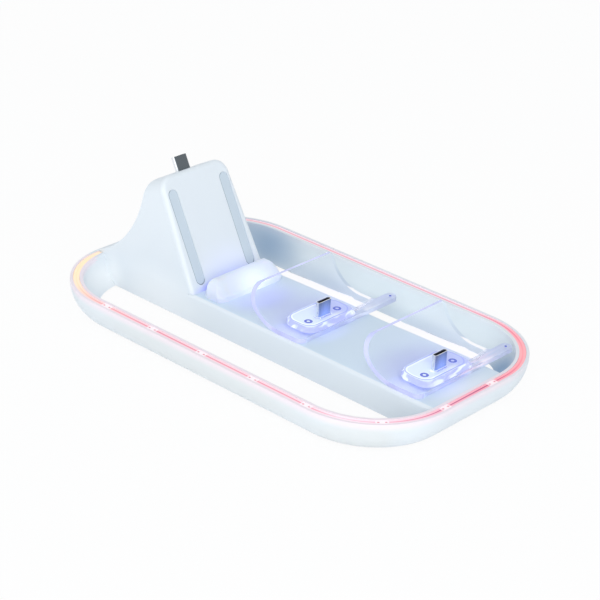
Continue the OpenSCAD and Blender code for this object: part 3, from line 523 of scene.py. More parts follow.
def past(material, value, limit):
    """How far a value lies past a limit to either side, and 0 within it."""
    beyond = calc(material, "SUBTRACT", calc(material, "ABSOLUTE", value), limit)
    return calc(material, "MAXIMUM", beyond, 0.0)


def hypotenuse(material, a, b):
    """The length of the long side of a right triangle."""
    squares = calc(material, "ADD", calc(material, "POWER", a, 2.0), calc(material, "POWER", b, 2.0))
    return calc(material, "SQRT", squares)


# %% [markdown]
# The painted line of shade grows dark from 0.45 to 0.2 mm inside the outline and stays so up to the
# edge, and it fades in over 1.2 mm where the shady side begins. A pad's box gives its width and
# middle, and its corners give its length.

# %% Pads
# The pocket's line colour is painted shade.
RUBBER, RUBBER_SHADE, POCKET_SHADE_LINE = (0.62, 0.71, 0.78), (0.58, 0.67, 0.75), (0.20, 0.27, 0.33)
LINE_INNER, LINE_OUTER, LINE_FADE = 0.45, 0.2, 1.2


def pad_finish(name, node, reach):
    """Grey rubber with the painted line of shade. The reach is half of the pad's length, in metres."""
    low, high = (Vector(p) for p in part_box(node))
    radius = (high.y - low.y) / 2
    centre = (low + high) / 2
    straight = reach - radius
    finish, shader = textured_material(name, (0.60, 0.69, 0.76), 0.62, size=0.25, depth=0.012, variation=0.06)
    along = add(finish, "ShaderNodeVectorMath", i0=place(finish), i1=uphill)
    along.operation = "DOT_PRODUCT"
    along = calc(finish, "SUBTRACT", along.outputs["Value"], centre.dot(uphill))
    across = calc(finish, "SUBTRACT", axes(finish)[1], centre.y)
    outwards = hypotenuse(finish, past(finish, along, straight), calc(finish, "ABSOLUTE", across))
    pocket_shade = spread(finish, outwards, radius - LINE_INNER * MM, radius - LINE_OUTER * MM)
    lower = calc(finish, "SUBTRACT", times(finish, along, -1.0), straight)
    shady = calc(finish, "MAXIMUM", times(finish, across, -1.0), lower)
    pocket_shade = times(finish, pocket_shade, spread(finish, shady, 0.0, LINE_FADE * MM))
    drift = blend(finish, cloud(finish, 9), RUBBER, RUBBER_SHADE)
    feed(finish, shader.inputs["Base Color"], blend(finish, pocket_shade, drift, POCKET_SHADE_LINE))
    tell(finish)
    return finish


for node, name in (("pad_front", "grip_pad_front"), ("pad_back", "grip_pad_back")):
    pad = rounded_copy(node, name, radius=0.1)
    ends = [corner.co.dot(uphill) for corner in pad.data.vertices]
    length = max(ends) - min(ends)
    pad.data.materials.append(pad_finish("grip_rubber_" + node[4:], node, length / 2))
    print(name, "is", round(length / MM, 1), "mm long")

# %% [markdown]
# ## Milky rest block
# The block is milky plastic, lit from below, and brightest above its lamps. It scatters light, so
# it gets some subsurface light and a painted blue glow with a blue-white heart. Its front end is
# painted duller as shade, and its foot by the panel deep blue as the painted light of the gap.

# %% Rest block's finish
MILK, MILK_SHADE = (0.80, 0.86, 0.97), (0.76, 0.83, 0.96)
# The dull end is painted shade; the deep blue foot and the glow are painted light.
FRONT_END_SHADE, REST_FOOT_LIGHT = (0.64, 0.68, 0.86), (0.30, 0.33, 0.95)
REST_GLOW, REST_HEART = (0.30, 0.33, 1.0), (0.68, 0.78, 1.0)
rest_finish, shader = new_material("milky_lit", MILK, 0.28)
shader.inputs["Subsurface Weight"].default_value = 0.4
shader.inputs["Subsurface Radius"].default_value = (0.004, 0.005, 0.008)
milk = blend(rest_finish, cloud(rest_finish, 14), MILK, MILK_SHADE)
front_end_shade = pool(rest_finish, (-27, -26, 12), (16, 18, 16))
milk = blend(rest_finish, front_end_shade, milk, FRONT_END_SHADE)
by_panel = pool(rest_finish, (-38, 0, DECK_Z), (5, 28, 7))
feed(rest_finish, shader.inputs["Base Color"], blend(rest_finish, by_panel, milk, REST_FOOT_LIGHT))
heart = pool(rest_finish, (-26, 1, 17), (20, 19, 15))
beside_heart = pool(rest_finish, (-28, 8, 16), (16, 20, 14))
feed(rest_finish, shader.inputs["Emission Color"], blend(rest_finish, heart, REST_GLOW, REST_HEART))
glow = total(rest_finish, [(heart, 0.22), (beside_heart, 0.14)])
feed(rest_finish, shader.inputs["Emission Strength"], glow)
tell(rest_finish)

# %% [markdown]
# In the CAD the block's ends are plain cuts. On the real one they are soft domes, so rings are cut
# near each end and drawn in, the outer ones more, as on a quarter of an ellipse.

# %% Rest block
DOME_DEPTH, DOME_RINGS, DOME_PULL = 5.0, 7, 0.5
TOP_SHIFT = 1.0


def dome_ends(piece):
    """Cuts rings near the two ends of the block and draws them in, so that each end is a soft dome."""
    low, high = (Vector(p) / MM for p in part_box("rest_block"))
    cuts = [high.y - DOME_DEPTH * k / DOME_RINGS for k in range(1, DOME_RINGS + 1)]

    def cut_rings():
        for place_y in cuts + [-c for c in cuts]:
            bpy.ops.mesh.select_all(action="SELECT")
            bpy.ops.mesh.bisect(plane_co=(0, place_y * MM, 0), plane_no=(0, 1, 0))

    in_edit_mode(piece, cut_rings)
    centre = (low.x + high.x) / 2 + TOP_SHIFT
    for corner in piece.data.vertices:
        x, y, z = corner.co / MM
        t = (abs(y) - (high.y - DOME_DEPTH)) / DOME_DEPTH
        if t <= 0 or z < DECK_Z - 0.05:
            continue
        drawn = DOME_PULL * (1 - math.sqrt(max(0.0, 1 - min(t, 1.0) ** 2)))
        corner.co.x = (centre + (x - centre) * (1 - drawn)) * MM
        corner.co.z = (DECK_Z + (z - DECK_Z) * (1 - drawn)) * MM


rest = rounded_copy("rest_block", "milky_rest_block", radius=0.4, smooth_angle=40, shape=dome_ends)
rest.data.materials.append(rest_finish)

# %% [markdown]
# ## Light strip in the rim
# A milky guide fills the groove in the rim, with a row of coloured lights under it: amber at the
# first corner, pink along the front, crimson at the right end and coral behind it. A pattern that
# follows the strip needs a map of it, so each corner of each face gets the distance run along the
# rim and the place across. The back half is the front half turned round, half a lap further on.

# %% Map the strip
GUIDE_IN, GUIDE_W = 1.45, 2.7
ROUND = CORNER_R - (GUIDE_IN + GUIDE_W / 2)
QUARTER = ROUND * math.pi / 2
SIDE_A, SIDE_B = HALF_W - CORNER_R, HALF_L - CORNER_R
LAP = 4 * (SIDE_A + SIDE_B + QUARTER)


def run_and_inset(x, y):
    """Distance along the rim from the middle of its -X end by the front, and inset from the edge."""
    if y > 0:
        run, inset = run_and_inset(-x, -y)
        return run + LAP / 2, inset
    cx, cy = max(-SIDE_B, min(SIDE_B, x)), max(-SIDE_A, y)
    dx, dy = x - cx, y - cy
    if x < -SIDE_B:
        run = -cy + ROUND * math.atan2(-dy, -dx)
    elif x <= SIDE_B:
        run = SIDE_A + QUARTER + SIDE_B + x
    else:
        run = LAP / 2 - QUARTER + ROUND * math.atan2(dx, -dy) + cy
    return run, CORNER_R - math.hypot(dx, dy)


strip = rounded_copy("light_guide", "milky_light_guide", radius=0)
for old_map in list(strip.data.uv_layers):
    strip.data.uv_layers.remove(old_map)
strip_map = strip.data.uv_layers.new(name="strip")
for loop in strip.data.loops:
    x, y, _ = strip.data.vertices[loop.vertex_index].co / MM
    run, inset = run_and_inset(x, y)
    strip_map.data[loop.index].uv = (run / LAP, (inset - GUIDE_IN) / GUIDE_W)
print("one lap of the rim is", round(LAP, 1), "mm")

# %% [markdown]
# The guide is milky all over, with a thin thread of stronger colour along its middle. The colours
# of both change along the rim, so each has a ramp of stops, at a run in millimetres. The corners
# lie at 21 to 79, 205 to 264, 306 to 364 and 490 to 549, and the straight stretches between them.

# %% Colours along the strip
strip_finish, shader = new_material("lit_guide", (0.9, 0.5, 0.52), 0.3)
uv = add(strip_finish, "ShaderNodeUVMap")
uv.uv_map = "strip"
along, across = add(strip_finish, "ShaderNodeSeparateXYZ", Vector=uv.outputs[0]).outputs[:2]


def run_ramp(stops):
    """A colour that changes along the rim, from (run in millimetres, colour) stops."""
    ramp = add(strip_finish, "ShaderNodeValToRGB", Fac=along)
    while len(ramp.color_ramp.elements) < len(stops):
        ramp.color_ramp.elements.new(0.5)
    for element, (run, colour) in zip(ramp.color_ramp.elements, stops):
        element.position, element.color = run / LAP, (*colour, 1)
    return ramp.outputs[0]


milky = run_ramp([
    (22, (0.95, 0.70, 0.62)), (34, (1.0, 0.76, 0.52)), (48, (1.0, 0.79, 0.52)), (60, (1.0, 0.76, 0.56)),
    (74, (0.95, 0.62, 0.58)), (100, (0.92, 0.59, 0.63)), (205, (0.93, 0.65, 0.71)),
    (220, (0.96, 0.79, 0.86)), (240, (0.95, 0.70, 0.78)), (262, (0.92, 0.50, 0.58)),
    (290, (0.88, 0.36, 0.45)), (318, (0.98, 0.38, 0.41)), (345, (0.97, 0.38, 0.42)),
    (380, (0.89, 0.65, 0.73)), (548, (0.92, 0.67, 0.71)),
])
thread = run_ramp([
    (30, (1.0, 0.80, 0.46)), (60, (1.0, 0.72, 0.46)),
    (84, (0.85, 0.30, 0.34)), (120, (0.74, 0.19, 0.27)), (205, (0.80, 0.28, 0.37)),
    (220, (0.93, 0.62, 0.72)), (240, (0.85, 0.38, 0.50)), (262, (0.58, 0.13, 0.27)),
    (292, (0.42, 0.03, 0.14)), (312, (0.78, 0.15, 0.25)), (330, (0.95, 0.32, 0.35)),
    (352, (0.76, 0.14, 0.24)), (380, (0.78, 0.30, 0.38)), (548, (0.84, 0.32, 0.38)),
])
print("nodes for the strip's two ramps:", len(strip_finish.node_tree.nodes))

# %% [markdown]
# Small clips hold the guide along the front and on to the right end. Each one is a pale gap in the
# thread between two dark pins. A band is 1 near a place along the strip or across it, with soft
# borders, and the clips are sums of such bands.

# %% Clips and finish of the strip
CLIPS = [85.5, 114.2, 143.9, 173.7, 203.5, 236.6, 266.9, 297.3]
CLIP_HALF, CLIP_SOFT = 2.6 / LAP, 0.5 / LAP
PIN_OFFSET, PIN_HALF, PIN_SOFT = 1.6, 0.5 / LAP, 0.35 / LAP
THREAD_PLACE = 0.52
CLIP_PALE, PIN_DARK = (1.0, 0.88, 0.90), (0.52, 0.12, 0.20)


def band(value, centre, half, soft):
    """1 where a value lies within half of a centre, with soft borders."""
    distance = calc(strip_finish, "ABSOLUTE", calc(strip_finish, "SUBTRACT", value, centre))
    return spread(strip_finish, distance, half - soft, half + soft, 1.0, 0.0)


gaps = total(strip_finish, [(band(along, run / LAP, CLIP_HALF, CLIP_SOFT), 1.0) for run in CLIPS])
core = band(across, THREAD_PLACE, 0.13, 0.11)
core = times(strip_finish, core, calc(strip_finish, "SUBTRACT", 1.0, gaps))
lit = blend(strip_finish, core, milky, thread)
lit = blend(strip_finish, times(strip_finish, gaps, 0.8), lit, CLIP_PALE)
pin_runs = [run + side * PIN_OFFSET for run in CLIPS for side in (-1, 1)]
pins = total(strip_finish, [(band(along, run / LAP, PIN_HALF, PIN_SOFT), 1.0) for run in pin_runs])
pins = times(strip_finish, pins, band(across, THREAD_PLACE, 0.16, 0.10))
lit = blend(strip_finish, times(strip_finish, pins, 0.8), lit, PIN_DARK)
feed(strip_finish, shader.inputs["Base Color"], lit)
feed(strip_finish, shader.inputs["Emission Color"], lit)
shader.inputs["Emission Strength"].default_value = 0.24
strip.data.materials.append(strip_finish)
tell(strip_finish)
print("clips along the strip:", len(CLIPS))

# %% [markdown]
# ## Clear cradles
# Each cradle is one clear moulding: a sheet that sweeps up to the left, a tongue over the back
# and a plateau round the plug. Clear plastic bends light, so it is made with transmission and an
# index of refraction, kept low so that what lies behind shows nearly in place. The sheet is painted
# faintly violet near the plateau for the light of its lamps, and has a faint painted glow, more low down.

# %% Clear sheet
def clear_material(name, colour, roughness, passing, ior):
    """A material that lets part of the light pass, bent by its index of refraction."""
    material, shader = new_material(name, colour, roughness)
    shader.inputs["Transmission Weight"].default_value = passing
    shader.inputs["IOR"].default_value = ior
    return material, shader


def beside_plugs(dx, y, z, radii, weight=1.0):
    """The same pool for each cradle, at a distance dx from its plug and a height z above the deck."""
    return [((plug + dx, y, DECK_Z + z), radii, weight) for plug in PLUGS]


SHEET_CLEAR, SHEET_VIOLET_LIGHT, SHEET_GLOW = (0.99, 0.99, 1.0), (0.90, 0.89, 1.0), (0.40, 0.38, 1.0, 1)
clear_finish, shader = clear_material("clear_sheet", (0.98, 0.99, 1.0), 0.04, passing=1.0, ior=1.14)
near = pools(clear_finish, beside_plugs(0, 0, 0, (20, 30, 8)))
feed(clear_finish, shader.inputs["Base Color"], blend(clear_finish, near, SHEET_CLEAR, SHEET_VIOLET_LIGHT))
low_down = spread(clear_finish, axes(clear_finish)[2], DECK_Z * MM, (DECK_Z + 12) * MM, 0.035, 0.012)
uneven = calc(clear_finish, "ADD", cloud(clear_finish, 28), 0.5)
feed(clear_finish, shader.inputs["Emission Strength"], times(clear_finish, low_down, uneven))
shader.inputs["Emission Color"].default_value = SHEET_GLOW
tell(clear_finish)

# %% [markdown]
# Light that travels inside a clear sheet leaves it at the cut edges, which is why they look bright
# violet from the front; that light is painted in their colour and a glow. On the back edge, the
# upper corner gets a painted white highlight, and the cut below it is nearly as clear as the sheet.

# %% Cut edges
edge_finish, shader = clear_material("clear_edge", (0.64, 0.66, 0.99), 0.12, passing=0.2, ior=1.25)
shader.inputs["Emission Color"].default_value = (0.50, 0.53, 1.0, 1)
uneven = spread(edge_finish, cloud(edge_finish, 8), 0.3, 0.7, 0.06, 0.18)
feed(edge_finish, shader.inputs["Emission Strength"], uneven)

line_finish, shader = new_material("edge_highlight", (0.93, 0.95, 1.0), 0.08)
shader.inputs["Emission Color"].default_value = (0.9, 0.93, 1.0, 1)
uneven = spread(line_finish, cloud(line_finish, 11), 0.3, 0.7, 0.1, 0.3)
feed(line_finish, shader.inputs["Emission Strength"], uneven)

side_finish, shader = clear_material("clear_side", (0.96, 0.97, 1.0), 0.05, passing=1.0, ior=1.02)
drift = blend(side_finish, cloud(side_finish, 12), (0.97, 0.98, 1.0), (0.93, 0.95, 1.0))
feed(side_finish, shader.inputs["Base Color"], drift)
for finish in (edge_finish, line_finish, side_finish):
    tell(finish)

# %% [markdown]
# The tongue is hazier than the sheet. It mirrors what lies round it in fine streaks along its
# length, violet near the plateau and pinkish on the second cradle. It is half clear, and these
# reflections are painted, in its colour and a faint glow, as a cloud stretched along Y.

# %% Tongue
TONGUE_GREY, TONGUE_VIOLET_REFLECTION, TONGUE_PINK_REFLECTION = (0.74, 0.80, 0.94), (0.68, 0.73, 0.98), (1.0, 0.80, 0.90)
hazy_finish, shader = clear_material("hazy_tongue", (0.84, 0.88, 1.0), 0.3, passing=0.45, ior=1.3)
reflected_streaks = spread(hazy_finish, cloud(hazy_finish, 1.1, stretch=(1, 16, 1)), 0.45, 0.6)
near = pools(hazy_finish, beside_plugs(4, -4, 0, (9, 26, 6)))
violet = blend(hazy_finish, near, TONGUE_GREY, TONGUE_VIOLET_REFLECTION)
pinker_reflection = times(hazy_finish, reflected_streaks, pool(hazy_finish, (86, 10, 16), (12, 30, 8)))
feed(hazy_finish, shader.inputs["Base Color"], blend(hazy_finish, pinker_reflection, violet, TONGUE_PINK_REFLECTION))
shader.inputs["Emission Color"].default_value = (0.45, 0.50, 1.0, 1)
feed(hazy_finish, shader.inputs["Emission Strength"], spread(hazy_finish, reflected_streaks, 0.0, 1.0, 0.03, 0.08))
tell(hazy_finish)

# %% [markdown]
# The plateau is the thick part round the plug, lit from below. On its top, a dark line of painted
# shade and a bright painted highlight follow the outline, both as patterns. They need two distances:
# along X from the nearer plug, and inwards from the outline of the top, which has round corners.

# %% Distances on the plateau
PLATEAU_W, PLATEAU_L, PLATEAU_H, PLATEAU_CORNER = 15.5, 29.0, 4.1, 6.0
PLATEAU_LEFT, PLATEAU_BACK = 2.55, 0.5
print("each plateau's middle lies", PLATEAU_LEFT, "mm left of its plug and", PLATEAU_BACK, "mm behind it")


def from_plug(material):
    """The distance along X from the nearer of the two cradles' plugs, in metres, with its sign."""
    pitch = (PLUGS[1] - PLUGS[0]) * MM
    shifted = calc(material, "ADD", axes(material)[0], pitch / 2 - PLUGS[0] * MM)
    wrapped = add(material, "ShaderNodeMath", i0=shifted, i1=pitch, i2=0.0)
    wrapped.operation = "WRAP"
    return calc(material, "SUBTRACT", wrapped.outputs[0], pitch / 2)


def from_outline(material):
    """How far a point lies inside the outline of a plateau's top, in metres; below 0 outside it."""
    x = calc(material, "ADD", from_plug(material), PLATEAU_LEFT * MM)
    y = calc(material, "ADD", axes(material)[1], -PLATEAU_BACK * MM)
    past_x = past(material, x, (PLATEAU_W / 2 - PLATEAU_CORNER) * MM)
    past_y = past(material, y, (PLATEAU_L / 2 - PLATEAU_CORNER) * MM)
    return calc(material, "SUBTRACT", PLATEAU_CORNER * MM, hypotenuse(material, past_x, past_y))


def line_at(material, value, centre, half):
    """1 where a value in metres lies near a centre in millimetres, with soft borders."""
    distance = calc(material, "ABSOLUTE", calc(material, "SUBTRACT", value, centre * MM))
    return spread(material, distance, half * 0.5 * MM, half * 1.5 * MM, 1.0, 0.0)


# %% [markdown]
# The top is painted pale with light at the front left, turning violet towards the back right, in
# its colour and its glow. The painted highlight on the ridge shows where the top is pale, the dark
# line of painted shade runs all round, and the painted highlight beside the plug is nearly white.

# %% Plateau's top
top_finish, shader = clear_material("plateau_top", (0.80, 0.90, 1.0), 0.08, passing=0.15, ior=1.3)
to_back = total(top_finish, [
    (from_plug(top_finish), 30.0), (axes(top_finish)[1], 55.0), (cloud(top_finish, 5), 0.5)
])
to_back = spread(top_finish, to_back, -0.15, 0.75)
wavy = times(top_finish, cloud(top_finish, 4), 0.6 * MM)
inside = calc(top_finish, "ADD", from_outline(top_finish), wavy)
forward = times(top_finish, spread(top_finish, to_back, 0.7, 0.2), 0.85)
ridge_highlight = times(top_finish, line_at(top_finish, inside, 1.6, 0.4), forward)
dark_shade_line = times(top_finish, line_at(top_finish, inside, 0.95, 0.28), 0.9)
plug_highlight = pools(top_finish, beside_plugs(4, 2, PLATEAU_H, (3.6, 10, 3), 1.1))


def layered(pale, violet, beside, in_dark_shade, on_ridge_highlight):
    """The top's painted colour or glow from its two ends, the highlight beside the plug, the dark line of
    shade and the ridge's highlight.
    """
    colour = blend(top_finish, to_back, pale, violet)
    colour = blend(top_finish, plug_highlight, colour, beside)
    colour = blend(top_finish, dark_shade_line, colour, in_dark_shade)
    return blend(top_finish, ridge_highlight, colour, on_ridge_highlight)


base = layered(
    pale=(0.82, 0.90, 1.0), violet=(0.58, 0.64, 0.97), beside=(0.90, 0.95, 1.0),
    in_dark_shade=(0.44, 0.50, 0.95), on_ridge_highlight=(0.92, 0.97, 1.0)
)
glow = layered(
    pale=(0.66, 0.84, 1.0), violet=(0.40, 0.45, 1.0), beside=(0.8, 0.92, 1.0),
    in_dark_shade=(0.20, 0.24, 1.0), on_ridge_highlight=(0.9, 0.97, 1.0)
)
feed(top_finish, shader.inputs["Base Color"], base)
feed(top_finish, shader.inputs["Emission Color"], glow)
shine = spread(top_finish, to_back, 0.0, 1.0, 0.19, 0.13)
shine = calc(top_finish, "ADD", shine, times(top_finish, ridge_highlight, 0.1))
feed(top_finish, shader.inputs["Emission Strength"], shine)
tell(top_finish)

# %% [markdown]
# The plateau's wall is thick and polished, so it shows what lies behind it in large melted shapes.
# Tracing that needs many bounces, so warped blobs of white light on violet stand for it. They fade
# at the front right corner, where the wall turns away from its lamps.

# %% Plateau's wall
WALL_VIOLET, WALL_WHITE = (0.66, 0.71, 0.99), (0.92, 0.96, 1.0)
wall_finish, shader = clear_material("plateau_wall", (0.62, 0.67, 0.98), 0.08, passing=0.35, ior=1.2)
blobs = cloud(wall_finish, 3.4, detail=0.6, stretch=(1, 2.0, 0.8), warp=0.9)
blobs = spread(wall_finish, blobs, 0.42, 0.66)
left = spread(wall_finish, from_plug(wall_finish), 7 * MM, -6 * MM, 0.85, 1.0)
front_right = pools(wall_finish, beside_plugs(4, -14, 2, (8, 7, 8), -0.85))
kept = calc(wall_finish, "ADD", front_right, 1.0)
blobs = times(wall_finish, times(wall_finish, blobs, left), kept)
feed(wall_finish, shader.inputs["Base Color"], blend(wall_finish, blobs, WALL_VIOLET, WALL_WHITE))
glow = blend(wall_finish, blobs, (0.34, 0.36, 1.0), (0.80, 0.92, 1.0))
feed(wall_finish, shader.inputs["Emission Color"], glow)
feed(wall_finish, shader.inputs["Emission Strength"], spread(wall_finish, blobs, 0.0, 1.0, 0.13, 0.34))
tell(wall_finish)

# %% [markdown]
# The rounded lip between top and wall carries a painted white highlight and glow on its left and is
# violet on its right. The blind bores in the plateau and in the tongue are painted a dark, saturated
# blue, as the shade in the holes, with a faint painted glow.

# %% Plateau's lip and bores
LIP_HIGHLIGHT, LIP_VIOLET = (0.96, 0.99, 1.0), (0.50, 0.56, 0.95)
BORE_DEEP_SHADE, BORE_BLUE_SHADE = (0.08, 0.12, 0.60), (0.16, 0.22, 0.76)
lip_finish, shader = new_material("plateau_rim", (0.6, 0.65, 0.97), 0.1)
to_right = total(lip_finish, [(from_plug(lip_finish), 1.0), (cloud(lip_finish, 6), 5 * MM)])
to_right = spread(lip_finish, to_right, -7 * MM, -2 * MM)
feed(lip_finish, shader.inputs["Base Color"], blend(lip_finish, to_right, LIP_HIGHLIGHT, LIP_VIOLET))
shader.inputs["Emission Color"].default_value = (0.6, 0.7, 1.0, 1)
feed(lip_finish, shader.inputs["Emission Strength"], spread(lip_finish, to_right, 0.0, 1.0, 0.3, 0.08))

bore_finish, shader = new_material("bore_blue", (0.08, 0.12, 0.62), 0.2)
drift = blend(bore_finish, cloud(bore_finish, 1.5), BORE_DEEP_SHADE, BORE_BLUE_SHADE)
feed(bore_finish, shader.inputs["Base Color"], drift)
shader.inputs["Emission Color"].default_value = (0.10, 0.18, 0.9, 1)
shader.inputs["Emission Strength"].default_value = 0.06
for finish in (lip_finish, bore_finish):
    tell(finish)

# %% [markdown]
# The finish of each face of a cradle follows from where it lies and which way it looks: the
# plateau's top, its rounded lip and its wall, the tongue, the cut edges, and the clear rest.

# %% Which finish a face of a cradle gets
CLEAR_FINISHES = [
    clear_finish, side_finish, edge_finish, line_finish, hazy_finish,
    top_finish, wall_finish, lip_finish, bore_finish,
]
CLEAR, SIDE, EDGE, LINE, HAZY, TOP, WALL, LIP, BORE = range(len(CLEAR_FINISHES))
SHEET_T, SHEET_RIGHT, SLACK = 2.1, 7.6, 0.05
FOOT_LEFT, FOOT_RIGHT, FOOT_FRONT, FOOT_BACK = -12.4, 7.3, -16.2, 17.2
PIN_HOLE_X, PIN_HOLE_Y, PIN_HOLE_R = SHEET_RIGHT - 2.7, 39.3, 0.75
TONGUE_LEFT, TONGUE_FRONT, FRONT_PART = 0.5, 24, -12
print("finishes of a cradle:", len(CLEAR_FINISHES))


def plateau_finish(z, turned):
    """The finish of a face of the plateau, at a height over the deck."""
    if turned.z > 0.95:
        return TOP
    rounded = PLATEAU_H - 0.5 < z < PLATEAU_H + SLACK and turned.z > 0.2
    return LIP if rounded else WALL


def finish_of(x, y, z, turned):
    """The finish of a cradle's face. x is the distance from its plug and z the height over the deck."""
    rising_sheet = x < 2 and turned.x > 0.05 and abs(turned.y) < 0.2
    in_foot = FOOT_LEFT < x < FOOT_RIGHT and FOOT_FRONT < y < FOOT_BACK
    if z > SHEET_T + SLACK and in_foot and not rising_sheet:
        return plateau_finish(z, turned)
    if math.hypot(x - PIN_HOLE_X, y - PIN_HOLE_Y) < PIN_HOLE_R and abs(turned.z) < 0.8:
        return BORE
    on_tongue = x > TONGUE_LEFT and y > TONGUE_FRONT
    right_edge = x > SHEET_RIGHT - 1.2 and y > FRONT_PART
    if on_tongue or right_edge:
        return HAZY
    upper_end = z > 12 and turned.z > 0.85
    right_end = x > 3.9 and y < FRONT_PART and abs(turned.z) < 0.6
    if turned.y < -0.6 or upper_end or right_end:
        return EDGE
    if turned.y > 0.25:
        return LINE if turned.y < 0.6 and turned.x + turned.z > 0.3 else SIDE
    return CLEAR


# %% [markdown]
# Where clear plastic lies on the deck, the two faces would share one plane and flicker in the
# render, so the points of a cradle that lie on the deck are lifted by a hair.

# %% Cradles
DECK_LIFT = 0.06
for number, plug in enumerate(PLUGS, 1):
    cradle = rounded_copy(f"cradle_{number}", f"clear_cradle_{number}", radius=0.45, smooth_angle=40)
    for finish in CLEAR_FINISHES:
        cradle.data.materials.append(finish)
    for corner in cradle.data.vertices:
        if abs(corner.co.z / MM - DECK_Z) < 0.02:
            corner.co.z += DECK_LIFT * MM
    for face in cradle.data.polygons:
        px, py, pz = face.center / MM
        face.material_index = finish_of(px - plug, py, pz - DECK_Z, face.normal)
    print("faces of the plateau's top:", sum(face.material_index == TOP for face in cradle.data.polygons))

# %% [markdown]
# ## Plugs
# The plugs are drawn steel shells round black inserts. Standing in the blue light of the plateau,
# their wide faces mirror it, more so near the plateau: their colour is painted a dark shade, unlike
# the narrow sides, and the blue reflection is a painted glow. The streaks of the drawing run upwards,
# so the noise in the gloss is stretched along Z.

# %% Plug finishes
STEEL, WIDE_FACE_SHADE, STEEL_REFLECTED_BLUE = (0.80, 0.83, 0.87), (0.12, 0.14, 0.155), (0.24, 0.36, 1.0, 1)
steel_finish, shader = new_material("drawn_steel", (0.44, 0.47, 0.50), 0.24)
shader.inputs["Metallic"].default_value = 1.0
streaks = cloud(steel_finish, 0.6, detail=3.0, stretch=(1, 1, 30))
feed(steel_finish, shader.inputs["Roughness"], spread(steel_finish, streaks, 0.2, 0.8, 0.18, 0.34))
wide = spread(steel_finish, calc(steel_finish, "ABSOLUTE", axes(steel_finish, "Normal")[0]), 0.45, 0.8)
feed(steel_finish, shader.inputs["Base Color"], blend(steel_finish, wide, STEEL, WIDE_FACE_SHADE))
glow = pools(steel_finish, beside_plugs(0, 0, 3, (4, 10, 16), 1.1))
feed(steel_finish, shader.inputs["Emission Strength"], times(steel_finish, wide, glow))
shader.inputs["Emission Color"].default_value = STEEL_REFLECTED_BLUE
insert_finish, _ = textured_material("black_insert", (0.012, 0.013, 0.016), 0.4, size=0.2, depth=0.004)
for finish in (steel_finish, insert_finish):
    tell(finish)

# %% [markdown]
# ## Inner pieces, cover and feet
# The boards are green laminate, the screws zinc plated, the ribbons pale film and the feet soft
# rubber. These solids need no rounding, so each one keeps its CAD mesh and only gets a finish.

# %% Finishes of the inner pieces
board_finish, shader = textured_material("circuit_board", (0.03, 0.16, 0.08), 0.35, size=0.3, depth=0.01)
drift = blend(board_finish, cloud(board_finish, 3), (0.03, 0.17, 0.085), (0.025, 0.13, 0.07))
feed(board_finish, shader.inputs["Base Color"], drift)
screw_finish, shader = textured_material(
    "zinc_screws", (0.55, 0.57, 0.60), 0.32, size=0.3, depth=0.006, variation=0.06
)
shader.inputs["Metallic"].default_value = 1.0
film_finish, _ = textured_material("cable_film", (0.80, 0.80, 0.78), 0.4, size=0.5, depth=0.01)
foot_finish, _ = textured_material("foot_rubber", (0.20, 0.21, 0.23), 0.75, size=0.3, depth=0.02)
# The cover takes the housing's body colour with its painted light and shade.
cover_finish, shader = textured_material("satin_cover", BODY, 0.5, size=0.4, depth=0.012)
feed(cover_finish, shader.inputs["Base Color"], shaded_body(cover_finish))
for finish in (board_finish, screw_finish, film_finish, foot_finish, cover_finish):
    tell(finish)

# %% [markdown]
# A list pairs each finish with the starts of its nodes' names. main_board_screws starts like
# main_board, and the last finish that fits a node stays, so the screws come after the boards.

# %% Give the CAD nodes their finishes
NODE_FINISHES = [
    (steel_finish, ("plug_shell", "inlet_shell")),
    (insert_finish, ("plug_insert", "inlet_tongue")),
    (board_finish, ("plug_board", "rest_light_board", "main_board")),
    (screw_finish, ("cradle_screws", "tower_board_screws", "main_board_screws", "cover_screws")),
    (film_finish, ("ribbon", "light_flex")),
    (foot_finish, ("foot",)),
    (cover_finish, ("bottom_cover",)),
]
finished = set()
for finish, starts in NODE_FINISHES:
    for name, piece in frame["nodes"].items():
        if any(name == start or name.startswith(start + "_") for start in starts):
            piece.data.materials.clear()
            piece.data.materials.append(finish)
            finished.add(name)
print("CAD nodes with a finish of their own:", len(finished))

# %% [markdown]
# ## Rings round the screws
# Seen from above, each blind bore for a cradle's screw shows through the clear plateau as a dark
# blue ring of shade. A thin ring is spun on the plateau's top for each, so that this painted shade
# also shows in the mesh.

# %% Bore rings
SCREW_PITCH = 18.4
RING_SINK = 0.02
RING_PROFILE = [(0.72, 0), (0.78, 0.06), (1.0, 0.10), (1.6, 0.10), (1.82, 0.06), (1.88, 0)]


def spun_ring(name, x, y, z):
    """A ring made by spinning the closed profile of (radius, height) points about a plumb line."""
    points = [((x + r) * MM, y * MM, (z + h) * MM) for r, h in RING_PROFILE]
    edges = [(i, (i + 1) % len(points)) for i in range(len(points))]
    data = bpy.data.meshes.new(name)
    data.from_pydata(points, edges, [])
    ring = bpy.data.objects.new(name, data)
    bpy.context.scene.collection.objects.link(ring)

    def spin():
        bpy.ops.mesh.spin(steps=40, angle=2 * math.pi, center=(x * MM, y * MM, z * MM), axis=(0, 0, 1))
        bpy.ops.mesh.select_all(action="SELECT")
        bpy.ops.mesh.remove_doubles(threshold=MERGE)
        bpy.ops.mesh.normals_make_consistent(inside=False)

    in_edit_mode(ring, spin)
    bpy.ops.object.shade_smooth_by_angle(angle=math.radians(40))
    print(name, "has", len(ring.data.polygons), "faces")
    return ring


for number, x in enumerate(PLUGS, 1):
    for side, end in ((-1, "front"), (1, "back")):
        ring_name = f"bore_shade_ring_{number}_{end}"
        ring = spun_ring(ring_name, x, side * SCREW_PITCH / 2, DECK_Z + PLATEAU_H - RING_SINK)
        ring.data.materials.append(bore_finish)
        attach(ring, "root")

